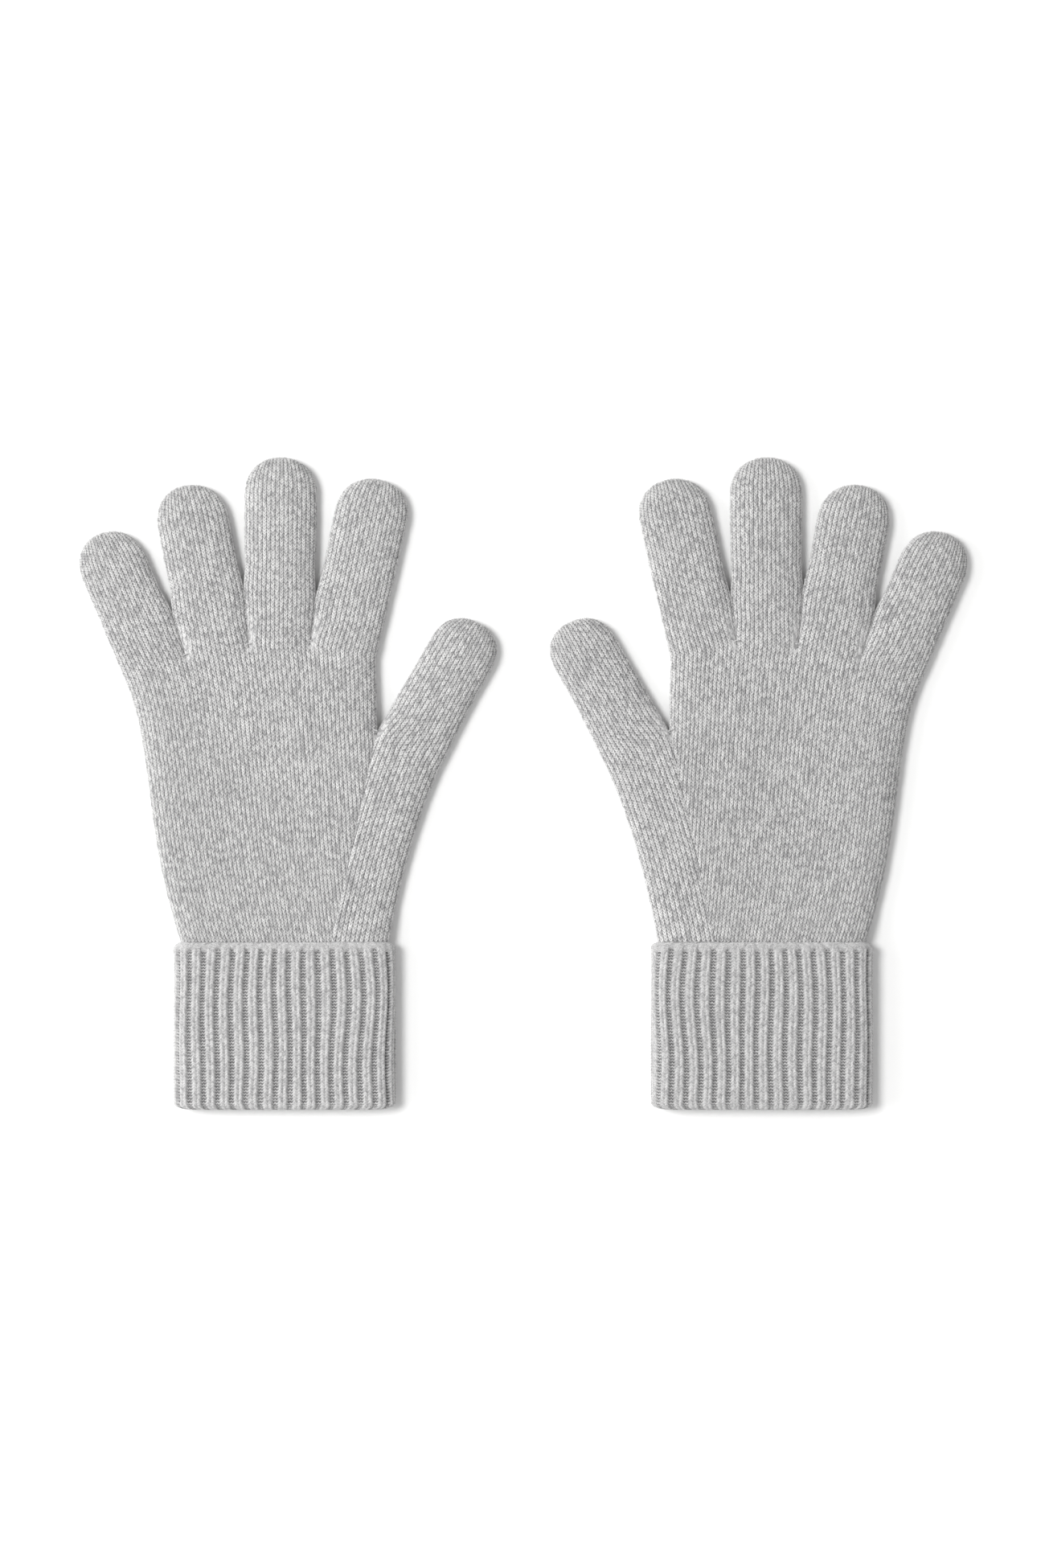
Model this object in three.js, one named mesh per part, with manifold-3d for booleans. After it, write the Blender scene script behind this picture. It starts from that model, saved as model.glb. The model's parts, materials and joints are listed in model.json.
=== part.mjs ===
// A pair of knitted gloves, lying flat with the backs of the hands up and the cuffs turned up.
// Millimetres, +Z up. The gloves lie on z = 0 with the fingers along +Y, left glove at -X.
// Each glove is a hollow knitted shell, cut into the lengths between its bends, with a ribbed
// cuff below the wrist and the cuff's turned-up half around it.
import * as THREE from 'three';
import { mergeVertices } from 'three/addons/utils/BufferGeometryUtils.js';
import Module from 'manifold-3d';

// ---- Driving dimensions --------------------------------------------------------------------
const GAP = 0.3;                 // between any two pieces
const THICKNESS = 8.6;           // hand, fingers and thumb, through both layers and the hollow
const KNIT_WALL = 1.6;           // one layer of plain knitting
const RIB_WALL = 2.0;            // one layer of rib
const EDGE_ROUND = 3.6;          // how far the rounded sides reach in, seen from above
const SIDE_FLAT = 0.3;           // half the height of the flat at the middle of a side

const CUFF_BOTTOM = -125;        // the fold of the cuff
const CUFF_TOP = -59.4;          // the finished edge of the turned-up half
const CUFF_WIDTH = 84.5;
const CUFF_CENTRE = -91.15;      // of the left glove
const CUFF_EDGE_BAND = 2.4;      // the linked edge row
const WRIST_TOP = -44;           // where the hand ends and the wrist begins
const WRIST_BOTTOM = CUFF_TOP + GAP;
const WRIST_WIDTH = 86.6;        // where it meets the hand
const WRIST_CENTRE = -91.6;

const BEND_HALF = 6;             // half the length of each bend
const KNUCKLE_ABOVE_FORK = 7;    // from the higher fork beside a finger to its knuckle line
const THUMB_HINGE = 7.5;         // from the thumb crotch to the thumb's root line
const GRAFT_RADIUS = 1.1;        // the linking stitches at a fork
const GRAFT_HALF_HEIGHT = 2.9;
const GRAFT_ABOVE_FORK = 0.8;
const FINGER_ROOT = 14;          // how far a finger's outline runs on into the hand

// Forks between the fingers, the thumb crotch, and the outer corners of the outer stalls.
const LITTLE_OUTER = [-150.6, 38.8];
const FORK_LITTLE_RING = [-128.2, 48.3];
const FORK_RING_MIDDLE = [-104.3, 52.3];
const FORK_MIDDLE_INDEX = [-81.0, 53.5];
const INDEX_OUTER = [-56.2, 49.0];
const CROTCH = [-55.8, 19.5];
const THUMB_OUTER = [-32.7, 5.6];

// Each stall: the two corners of its base, its tip, half its width, the length of its round
// end, and where it bends, as a share of its length.
const STALLS = {
  little: { left: LITTLE_OUTER, right: FORK_LITTLE_RING, tip: [-161.9, 95.6], half: 12.6,
    round: 15, bend: 0.6 },
  ring: { left: FORK_LITTLE_RING, right: FORK_RING_MIDDLE, tip: [-129.2, 114.2], half: 13.5,
    round: 15, bend: 0.56 },
  middle: { left: FORK_RING_MIDDLE, right: FORK_MIDDLE_INDEX, tip: [-92.3, 125], half: 13.4,
    round: 14, bend: 0.55 },
  index: { left: FORK_MIDDLE_INDEX, right: INDEX_OUTER, tip: [-54.2, 116.0], half: 13.5,
    round: 14, bend: 0.56 },
  thumb: { left: CROTCH, right: THUMB_OUTER, tip: [-15.9, 61.8], half: 12.3, round: 13,
    bend: 0.58 },
};
const FINGERS = ['little', 'ring', 'middle', 'index'];

// The hand's two long sides: the wrist's corners, and the points that each side bends towards.
const WRIST_LITTLE = [-130.5, -60];
const WRIST_THUMB = [-51, -60];
const LITTLE_SIDE_PULLS = [[-144.5, -14], [-142.5, 16]];
const THUMB_SIDE_PULL = [-44.8, -22];
const GUSSET_LINE = [CROTCH, [-61.7, -7.2], [-67.8, -31.7], [-70.5, -60]];
const LINE_REACH = 150;          // longer than any cut across the gloves
const LANE_BELOW = 30;           // how far a stall's strip of ground runs on below its forks
const LANE_OUTWARD = 40;         // and how far out it reaches beside the hand
const INDEX_SIDE_ROOM = 2;       // beside the index stall, towards the thumb

const KNIT_COLOUR = 0xbebdbd;
const RIB_COLOUR = 0xb6b6b6;
const LINKING_COLOUR = 0xb9b8b9;

// ---- Solids --------------------------------------------------------------------------------
const wasm = await Module();
wasm.setup();

function toSolid(geometry) {
  const bare = geometry.clone();
  bare.deleteAttribute('normal');
  bare.deleteAttribute('uv');
  const merged = mergeVertices(bare, 1e-4);
  const mesh = new wasm.Mesh({
    numProp: 3,
    vertProperties: new Float32Array(merged.attributes.position.array),
    triVerts: new Uint32Array(merged.index.array),
  });
  return new wasm.Manifold(mesh);
}

function toGeometry(solid) {
  const mesh = solid.getMesh();
  const geometry = new THREE.BufferGeometry();
  geometry.setAttribute('position', new THREE.BufferAttribute(mesh.vertProperties, 3));
  geometry.setIndex(new THREE.BufferAttribute(mesh.triVerts, 1));
  geometry.computeVertexNormals();
  return geometry;
}

const unite = (solids) => solids.reduce((whole, piece) => whole.add(piece));

// A slab with rounded sides over an outline, drawn in from it by `inset` on every side.
function pillow(outline, inset) {
  const height = THICKNESS - 2 * inset;
  const crown = height / 2 - SIDE_FLAT;
  const round = EDGE_ROUND - inset * 0.75;
  const geometry = new THREE.ExtrudeGeometry(outline, {
    depth: 2 * SIDE_FLAT,
    bevelThickness: crown,
    bevelSize: round,
    bevelOffset: -round - inset,
    bevelSegments: 2,
    curveSegments: 4,
  });
  geometry.translate(0, 0, inset + crown);
  return toSolid(geometry);
}

// A straight-sided block over a closed outline, tall enough to cut right through.
function cutter(points) {
  const outline = new THREE.Shape(points.map(([x, y]) => new THREE.Vector2(x, y)));
  const geometry = new THREE.ExtrudeGeometry(outline, {
    depth: THICKNESS + 2, bevelEnabled: false,
  });
  geometry.translate(0, 0, -1);
  return toSolid(geometry);
}

// ---- Outlines ------------------------------------------------------------------------------
// A stall's own axes: s runs along it from the middle of its base, t across it to the right.
function stallAxes({ left, right, tip }) {
  const middle = new THREE.Vector2((left[0] + right[0]) / 2, (left[1] + right[1]) / 2);
  const end = new THREE.Vector2(...tip);
  const along = end.clone().sub(middle);
  const length = along.length();
  along.normalize();
  const across = new THREE.Vector2(along.y, -along.x);
  const place = (s, t) => middle.clone().addScaledVector(along, s).addScaledVector(across, t);
  const local = ([x, y]) => {
    const from = new THREE.Vector2(x, y).sub(middle);
    return [from.dot(along), from.dot(across)];
  };
  return { middle, along, across, length, place, local };
}

function stallOutline(stall) {
  const { length, place, local } = stallAxes(stall);
  const { half, round } = stall;
  const [leftS, leftT] = local(stall.left);
  const [rightS, rightT] = local(stall.right);
  const shoulder = length - round;
  const swell = shoulder * 0.4;      // where the sides reach their full width
  const cheek = round * 0.62;        // how square the round end is
  const pole = half * 0.56;
  const outline = new THREE.Shape();
  const go = (s, t) => outline.lineTo(place(s, t).x, place(s, t).y);
  const curve = (...pairs) => {
    const points = pairs.map(([s, t]) => place(s, t));
    outline.bezierCurveTo(...points.flatMap((p) => [p.x, p.y]));
  };
  const start = place(leftS - FINGER_ROOT, leftT);
  outline.moveTo(start.x, start.y);
  go(leftS, leftT);
  curve([swell * 0.6, leftT * 0.9 - half * 0.1], [swell, -half], [shoulder, -half]);
  curve([shoulder + cheek, -half], [length, -pole], [length, 0]);
  curve([length, pole], [shoulder + cheek, half], [shoulder, half]);
  curve([swell, half], [swell * 0.6, rightT * 0.9 + half * 0.1], [rightS, rightT]);
  go(rightS - FINGER_ROOT, rightT);
  return outline;
}

function handOutline() {
  const outline = new THREE.Shape();
  const [lowPull, highPull] = LITTLE_SIDE_PULLS;
  outline.moveTo(...WRIST_LITTLE);
  outline.lineTo(...WRIST_THUMB);
  outline.quadraticCurveTo(...THUMB_SIDE_PULL, ...THUMB_OUTER);
  outline.lineTo(...CROTCH);
  outline.lineTo(...INDEX_OUTER);
  outline.lineTo(...FORK_MIDDLE_INDEX);
  outline.lineTo(...FORK_RING_MIDDLE);
  outline.lineTo(...FORK_LITTLE_RING);
  outline.lineTo(...LITTLE_OUTER);
  outline.bezierCurveTo(...highPull, ...lowPull, ...WRIST_LITTLE);
  return outline;
}

// The whole knitted shell above the cuff: hand, four fingers and thumb, hollow inside.
function knittedShell() {
  const outlines = [handOutline(), ...Object.values(STALLS).map(stallOutline)];
  const outside = unite(outlines.map((outline) => pillow(outline, 0)));
  const inside = unite(outlines.map((outline) => pillow(outline, KNIT_WALL)));
  return outside.subtract(inside);
}

// ---- Cut lines -----------------------------------------------------------------------------
// A block across a stall, between two distances from a point on it, turned to lie square to
// `turn`, an angle from +Y.
function band(point, turn, from, to) {
  const reach = Math.min(to, LINE_REACH);
  const box = new THREE.BoxGeometry(2 * LINE_REACH, reach - from, 4 * THICKNESS);
  box.translate(0, (from + reach) / 2, 0);
  box.rotateZ(turn);
  box.translate(point.x, point.y, 0);
  return toSolid(box);
}

// The strip of ground that belongs to one stall, between the lines up from its two base corners.
function lane(corners, leans, margin) {
  const [left, right] = corners;
  const up = (corner, lean, side) => [
    [corner[0] + side, corner[1] - LANE_BELOW],
    [corner[0] + side, corner[1]],
    [corner[0] + side + LINE_REACH * Math.sin(lean), corner[1] + LINE_REACH * Math.cos(lean)],
  ];
  const leftLine = up(left, leans[0], margin);
  const rightLine = up(right, leans[1], -margin);
  return cutter([...leftLine, ...rightLine.reverse()]);
}

const leanOf = (stall) => Math.atan2(stallAxes(stall).along.x, stallAxes(stall).along.y);

// Lanes, hinge points and bend lines of all five stalls.
function stallCuts() {
  const lean = Object.fromEntries(Object.entries(STALLS).map(([n, s]) => [n, leanOf(s)]));
  const between = (a, b) => (lean[a] + lean[b]) / 2;
  const edges = {
    little: [[[LITTLE_OUTER[0] - LANE_OUTWARD, LITTLE_OUTER[1]], FORK_LITTLE_RING],
      [lean.little, between('little', 'ring')]],
    ring: [[FORK_LITTLE_RING, FORK_RING_MIDDLE],
      [between('little', 'ring'), between('ring', 'middle')]],
    middle: [[FORK_RING_MIDDLE, FORK_MIDDLE_INDEX],
      [between('ring', 'middle'), between('middle', 'index')]],
    index: [[FORK_MIDDLE_INDEX, [INDEX_OUTER[0] + INDEX_SIDE_ROOM, INDEX_OUTER[1]]],
      [between('middle', 'index'), between('index', 'thumb')]],
    thumb: [[CROTCH, [THUMB_OUTER[0] + LANE_OUTWARD, THUMB_OUTER[1]]],
      [between('index', 'thumb'), lean.thumb]],
  };
  const cuts = {};
  for (const [name, stall] of Object.entries(STALLS)) {
    const axes = stallAxes(stall);
    const isThumb = name === 'thumb';
    const level = Math.max(stall.left[1], stall.right[1]) + KNUCKLE_ABOVE_FORK;
    const rootS = isThumb ? THUMB_HINGE : (level - axes.middle.y) / axes.along.y;
    const root = axes.place(rootS, 0);
    cuts[name] = {
      lane: (margin) => lane(edges[name][0], edges[name][1], margin),
      root,
      rootTurn: isThumb ? -lean[name] : 0,
      bend: axes.place(axes.length * stall.bend, 0),
      bendTurn: -lean[name],
    };
  }
  return cuts;
}

// ---- Pieces --------------------------------------------------------------------------------
function stallPieces(shell, cut) {
  const half = GAP / 2;
  const whole = shell.intersect(cut.lane(half));
  const root = (from, to) => band(cut.root, cut.rootTurn, from + half, to - half);
  const bend = (from, to) => band(cut.bend, cut.bendTurn, from + half, to - half);
  return {
    knuckle: whole.intersect(root(-BEND_HALF, BEND_HALF)),
    lower: whole.intersect(root(BEND_HALF, LINE_REACH + half))
      .intersect(bend(-LINE_REACH, -BEND_HALF)),
    bend: whole.intersect(bend(-BEND_HALF, BEND_HALF)),
    tip: whole.intersect(bend(BEND_HALF, LINE_REACH + half)),
  };
}

// The short row of linking stitches that closes the hole at a fork.
function forkGraft([x, y], swell = 0) {
  const stitch = new THREE.SphereGeometry(1, 8, 4);
  const across = GRAFT_RADIUS + swell;
  stitch.scale(across, across, GRAFT_HALF_HEIGHT + swell);
  stitch.translate(x, y + GRAFT_ABOVE_FORK, THICKNESS / 2);
  return toSolid(stitch);
}

// A flattened ring section with rounded ends, `width` by `height` outside, swept down -Y.
function flatTube(width, height, wall, top, bottom, steps = 1) {
  const oval = (w, h, Kind) => {
    const side = Math.min(h / 2, w / 2);
    const straight = w / 2 - side;
    const path = new Kind();
    path.moveTo(-straight, -h / 2);
    path.lineTo(straight, -h / 2);
    path.absellipse(straight, 0, side, h / 2, -Math.PI / 2, Math.PI / 2, false);
    path.lineTo(-straight, h / 2);
    path.absellipse(-straight, 0, side, h / 2, Math.PI / 2, 1.5 * Math.PI, false);
    return path;
  };
  const section = oval(width, height, THREE.Shape);
  section.holes.push(oval(width - 2 * wall, height - 2 * wall, THREE.Path));
  const geometry = new THREE.ExtrudeGeometry(section, {
    depth: top - bottom, steps, bevelEnabled: false, curveSegments: 5,
  });
  geometry.rotateX(Math.PI / 2);
  geometry.translate(CUFF_CENTRE, top, height / 2);
  return geometry;
}

// The cuff's two layers around the wrist, with the turned-up half outside, and its edge row.
function cuffPieces() {
  const outerHeight = THICKNESS + 2 * (RIB_WALL + GAP);
  const innerWidth = CUFF_WIDTH - 2 * (RIB_WALL + GAP);
  const inner = flatTube(innerWidth, THICKNESS, RIB_WALL, CUFF_TOP, CUFF_BOTTOM);
  inner.translate(0, 0, RIB_WALL + GAP);
  const edgeBottom = CUFF_TOP - CUFF_EDGE_BAND;
  const turnUp = flatTube(CUFF_WIDTH, outerHeight, RIB_WALL, edgeBottom - GAP, CUFF_BOTTOM);
  const edge = flatTube(CUFF_WIDTH, outerHeight, RIB_WALL, CUFF_TOP, edgeBottom);
  return { cuff_inner: inner, cuff_turn_up: turnUp, cuff_edge: edge };
}

// The wrist: it narrows from the hand to the cuff and climbs onto the turned-up layer below it.
function wristPiece() {
  const top = WRIST_TOP - GAP / 2;
  const bottom = WRIST_BOTTOM;
  const innerWidth = CUFF_WIDTH - 2 * (RIB_WALL + GAP);
  const geometry = flatTube(WRIST_WIDTH, THICKNESS, KNIT_WALL, top, bottom, 3);
  const position = geometry.attributes.position;
  for (let i = 0; i < position.count; i += 1) {
    const share = (top - position.getY(i)) / (top - bottom);
    const ease = share * share * (3 - 2 * share);
    const fromCentre = position.getX(i) - CUFF_CENTRE;
    const narrowed = THREE.MathUtils.lerp(1, innerWidth / WRIST_WIDTH, share);
    const centre = THREE.MathUtils.lerp(WRIST_CENTRE, CUFF_CENTRE, share);
    position.setX(i, centre + fromCentre * narrowed);
    position.setZ(i, position.getZ(i) + ease * (RIB_WALL + GAP));
  }
  geometry.computeVertexNormals();
  return geometry;
}

// Every piece of the left glove, as a name and a geometry.
function glovePieces() {
  const half = GAP / 2;
  const grafts = {
    little_ring_fork: FORK_LITTLE_RING,
    ring_middle_fork: FORK_RING_MIDDLE,
    middle_index_fork: FORK_MIDDLE_INDEX,
    thumb_crotch: CROTCH,
  };
  const pockets = unite(Object.values(grafts).map((point) => forkGraft(point, GAP)));
  const shell = knittedShell().subtract(pockets);
  const cuts = stallCuts();
  const pieces = {};

  const origin = new THREE.Vector2(0, WRIST_TOP);
  let hand = shell.intersect(band(origin, 0, half, LINE_REACH));
  for (const name of [...FINGERS, 'thumb']) {
    const cut = cuts[name];
    const parts = stallPieces(shell, cut);
    const edge = name === 'thumb' ? 'root' : 'knuckle';
    pieces[`${name}_${edge}`] = parts.knuckle;
    pieces[`${name}_lower`] = parts.lower;
    pieces[`${name}_bend`] = parts.bend;
    pieces[`${name}_tip`] = parts.tip;
    const beyond = band(cut.root, cut.rootTurn, -BEND_HALF - half, LINE_REACH);
    hand = hand.subtract(beyond.intersect(cut.lane(-half)));
  }

  const wedge = (shift) => cutter([
    ...GUSSET_LINE.map(([x, y]) => [x + shift, y]),
    [0, GUSSET_LINE.at(-1)[1]],
    [0, CROTCH[1] + 20],
    [CROTCH[0] + shift, CROTCH[1] + 20],
  ]);
  pieces.hand = hand.subtract(wedge(-half));
  pieces.thumb_gusset = hand.intersect(wedge(half));
  for (const [name, point] of Object.entries(grafts)) {
    pieces[name] = forkGraft(point);
  }

  const geometries = { wrist: wristPiece(), ...cuffPieces() };
  for (const [name, solid] of Object.entries(pieces)) {
    geometries[name] = toGeometry(solid);
  }
  return geometries;
}

// ---- The pair ------------------------------------------------------------------------------
const fabric = (color) => new THREE.MeshStandardMaterial({ color, roughness: 0.95, metalness: 0 });
const materials = {
  knit: fabric(KNIT_COLOUR),
  rib: fabric(RIB_COLOUR),
  linking: fabric(LINKING_COLOUR),
};

function finishOf(name) {
  if (name.startsWith('cuff_edge') || name.endsWith('fork') || name.endsWith('crotch')) {
    return materials.linking;
  }
  return name.startsWith('cuff') ? materials.rib : materials.knit;
}

function glove(side, geometries) {
  const group = new THREE.Group();
  for (const [name, geometry] of Object.entries(geometries)) {
    const mesh = new THREE.Mesh(geometry, finishOf(name));
    mesh.name = `${side}_${name}`;
    group.add(mesh);
  }
  return group;
}

const geometries = glovePieces();
const pair = new THREE.Group();
const leftGlove = glove('left', geometries);
const rightGlove = glove('right', geometries);
rightGlove.scale.x = -1;
pair.add(leftGlove, rightGlove);

export default pair;
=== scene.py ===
"""A pair of fine knitted gloves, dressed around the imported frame.

Each glove is one knitted shell, laid out panel by panel on grids of wales (columns of stitches)
and courses (rows of stitches), raised stitch by stitch, and then parted where the glove bends.
The ribbed cuffs are rings around the wrist. Lengths are in millimetres inside the classes and
become metres when a mesh is written.
"""

import json
import logging
import math
from dataclasses import dataclass, field
from enum import Enum
from typing import Callable

import bmesh
import bpy
import numpy as np
from mathutils import Matrix, Vector

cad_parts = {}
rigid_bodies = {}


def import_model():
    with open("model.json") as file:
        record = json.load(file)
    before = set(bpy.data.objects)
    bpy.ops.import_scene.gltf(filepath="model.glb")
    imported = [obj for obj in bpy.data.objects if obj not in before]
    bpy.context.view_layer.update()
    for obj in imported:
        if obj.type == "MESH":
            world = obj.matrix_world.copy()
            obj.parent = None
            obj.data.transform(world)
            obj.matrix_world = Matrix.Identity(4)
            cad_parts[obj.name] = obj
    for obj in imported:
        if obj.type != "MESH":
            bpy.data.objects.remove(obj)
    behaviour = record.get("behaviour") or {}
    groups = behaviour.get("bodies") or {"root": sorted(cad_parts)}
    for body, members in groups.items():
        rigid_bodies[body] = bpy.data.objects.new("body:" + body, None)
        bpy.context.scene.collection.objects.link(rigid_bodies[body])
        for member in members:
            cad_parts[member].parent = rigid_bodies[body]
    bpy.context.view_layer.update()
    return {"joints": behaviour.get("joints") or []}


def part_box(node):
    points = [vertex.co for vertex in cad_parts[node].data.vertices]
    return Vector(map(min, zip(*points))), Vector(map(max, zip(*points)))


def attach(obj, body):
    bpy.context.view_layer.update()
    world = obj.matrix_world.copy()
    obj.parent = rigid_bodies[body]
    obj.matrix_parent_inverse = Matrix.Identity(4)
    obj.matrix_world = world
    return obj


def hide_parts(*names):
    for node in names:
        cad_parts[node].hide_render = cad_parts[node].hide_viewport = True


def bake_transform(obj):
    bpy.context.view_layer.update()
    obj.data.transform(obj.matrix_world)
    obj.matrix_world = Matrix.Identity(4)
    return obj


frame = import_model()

Array = np.ndarray
Colour = tuple[float, float, float]
log = logging.getLogger("gloves")

MM = 0.001
UV_NAME = "Knit"
RELIEF = "relief"
NORMAL = "final_normal"
FELT = "felt"
WELD = 2e-6
CELLS_PER_WALE = 4
CELLS_PER_COURSE = 3
MIRROR_WALES = 217.0
FINGERS = ("little", "ring", "middle", "index")
STALLS = FINGERS + ("thumb",)
GUSSET_FIRST_WALE = 80
GUSSET_TOP_BELOW = 26
REPEAT_START = 0.2


class Side(Enum):
    """Which glove of the pair."""

    LEFT = "left"
    RIGHT = "right"


class Face(Enum):
    """Which layer of a glove that lies flat."""

    BACK = 1
    PALM = -1


class Stitch(Enum):
    """How a finish is knitted."""

    PLAIN = "plain"
    RIB = "rib"
    LINKING = "linking"


def smoothstep(share: Array) -> Array:
    """Returns the smooth ramp from 0 to 1 of a share, held flat outside it."""
    held = np.clip(share, 0, 1)
    return held * held * (3 - 2 * held)


def mix(low: Array, high: Array, share: Array) -> Array:
    """Returns the value that lies at a share of the way between two."""
    return low + (high - low) * share


def plan_point(point: Vector) -> Array:
    """Returns the x and y of a point of the frame, in millimetres."""
    return np.array((point[0], point[1])) / MM


def box_corners(node: str) -> tuple[Array, Array]:
    """Returns the low and the high corner of a CAD node's box, in millimetres."""
    low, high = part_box(node)
    return np.array(low) / MM, np.array(high) / MM


def box_middle(node: str) -> Array:
    """Returns the plan middle of a CAD node's box, in millimetres."""
    low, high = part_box(node)
    return plan_point((low + high) / 2)


def joint(name: str) -> dict:
    """Returns the record's joint of that name."""
    return next(row for row in frame["joints"] if row["name"] == name)


def bezier(points: list, count: int = 200) -> Array:
    """Walks along a Bezier curve.

    Args:
        points: Its three or four control points.
        count: How many steps to take.

    Returns:
        The points on the curve, one to a row.
    """
    level = np.repeat(np.array(points, float)[None], count + 1, axis=0)
    share = np.linspace(0, 1, count + 1)[:, None, None]
    while level.shape[1] > 1:
        level = level[:, :-1] * (1 - share) + level[:, 1:] * share
    return level[:, 0]


def placed(name: str, data: bpy.types.ID) -> bpy.types.Object:
    """Makes an object and puts it in the scene."""
    made = bpy.data.objects.new(name, data)
    bpy.context.scene.collection.objects.link(made)
    return made


def read(items: bpy.types.bpy_prop_collection, name: str, width: int = 1) -> Array:
    """Reads one property of every item of a mesh's list.

    Args:
        items: The vertices, loops, attribute values or the like.
        name: The property.
        width: How many numbers it has.

    Returns:
        The numbers, one item to a row where it has more than one.
    """
    flat = np.empty(len(items) * width)
    items.foreach_get(name, flat)
    return flat.reshape(-1, width) if width > 1 else flat


def grid_mesh(name: str, columns: int, rows: int) -> tuple[bpy.types.Mesh, Array, Array]:
    """Makes a flat grid.

    Args:
        name: The mesh's name.
        columns: How many cells it has across.
        rows: How many cells it has along.

    Returns:
        The mesh, and the column and the row of each of its vertices.
    """
    grid = bmesh.new()
    bmesh.ops.create_grid(grid, x_segments=columns, y_segments=rows, size=0.5)
    made = bpy.data.meshes.new(name)
    grid.to_mesh(made)
    grid.free()
    share = read(made.vertices, "co", 3)[:, :2] + 0.5
    return made, np.rint(share[:, 0] * columns), np.rint(share[:, 1] * rows)


def store_knit(mesh: bpy.types.Mesh, wale: Array, course: Array) -> Array:
    """Stores each vertex's wale and course as the mesh's knit coordinates.

    Args:
        mesh: The mesh.
        wale: A wale coordinate for each vertex.
        course: A course coordinate for each vertex.

    Returns:
        The vertex of each face corner.
    """
    corner = np.empty(len(mesh.loops), int)
    mesh.loops.foreach_get("vertex_index", corner)
    knit = np.stack([wale, course], axis=1)[corner]
    mesh.uv_layers.new(name=UV_NAME).data.foreach_set("uv", knit.ravel())
    return corner


class Wander:
    """A smooth irregular surface, summed from plane waves in seeded directions."""

    def __init__(self, seed: int, shortest: float, longest: float, count: int = 9) -> None:
        """Draws the waves.

        Args:
            seed: Settles the draw.
            shortest: The shortest wavelength, in millimetres.
            longest: The longest wavelength, in millimetres.
            count: How many waves there are.
        """
        draw = np.random.default_rng(seed)
        turn = draw.uniform(0, 2 * math.pi, count)
        length = np.exp(draw.uniform(math.log(shortest), math.log(longest), count))
        self.across = 2 * math.pi * np.cos(turn) / length
        self.along = 2 * math.pi * np.sin(turn) / length
        self.start = draw.uniform(0, 2 * math.pi, count)

    def __call__(self, x: Array, y: Array) -> Array:
        """Returns the height at each point, about -1 to 1."""
        total = np.zeros(np.broadcast(x, y).shape)
        for across, along, start in zip(self.across, self.along, self.start):
            total += np.sin(across * x + along * y + start)
        return total / math.sqrt(2 * len(self.start))


@dataclass
class Roll:
    """How a knitted tube that lies flat rolls over at its side.

    The face falls from its full height to the tube's mid height over `reach`, on a quarter
    of a rounded-square curve.
    """

    reach: float
    rise: float
    power: float
    steps: int = 1500
    inward: Array = field(init=False)
    travelled: Array = field(init=False)

    def __post_init__(self) -> None:
        """Measures the curve's length against the distance from the side."""
        self.inward = self.reach * np.linspace(0, 1, self.steps) ** 3
        heights = self.rise * self.height(1 - self.inward / self.reach)
        lengths = np.hypot(np.diff(self.inward), np.diff(heights))
        self.travelled = np.concatenate([[0], np.cumsum(lengths)])

    @property
    def extra(self) -> float:
        """How much longer the curve is than its reach."""
        return float(self.travelled[-1] - self.reach)

    def height(self, outward: Array) -> Array:
        """Returns the share of the full height at a share of the way out to the side."""
        return (1 - np.clip(outward, 0, 1) ** self.power) ** (1 / self.power)

    def plan(self, length: Array) -> Array:
        """Returns the distance from the side, seen from above, after a length of fabric."""
        beyond = np.maximum(length - self.travelled[-1], 0)
        return np.interp(length, self.travelled, self.inward) + beyond


class StitchRelief:
    """The height of plain knitting above its cloth: two slanted legs to a stitch."""

    def __init__(self, height: float = 0.5, uneven: float = 0.3, ragged: float = 0.12) -> None:
        """Draws how each leg of a stitch differs from its neighbours.

        Args:
            height: How far a stitch stands proud, in millimetres.
            uneven: The share by which one leg may be fuller than the next.
            ragged: How far a leg may sit above or below its course, in courses.
        """
        self.height = height
        draw = np.random.default_rng(41)
        self.fullness = 1 + uneven * draw.uniform(-1, 1, (128, 128))
        self.slip = ragged * draw.uniform(-1, 1, (128, 128))

    def __call__(self, wale: Array, course: Array) -> Array:
        """Returns the height at each wale and course coordinate, in millimetres."""
        apart = 2 * np.abs(wale % 1 - 0.5)
        across = 0.75 * np.sin(math.pi * apart) + 0.55 * np.cos(math.pi * apart / 2) ** 2
        slant = course - 0.9 * apart
        leg = np.floor(2 * wale).astype(int) % 128, np.floor(slant).astype(int) % 128
        along = 0.5 + 0.5 * np.cos(2 * math.pi * (slant + self.slip[leg]))
        return self.height * self.fullness[leg] * across * (0.55 + 0.45 * along)


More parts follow.
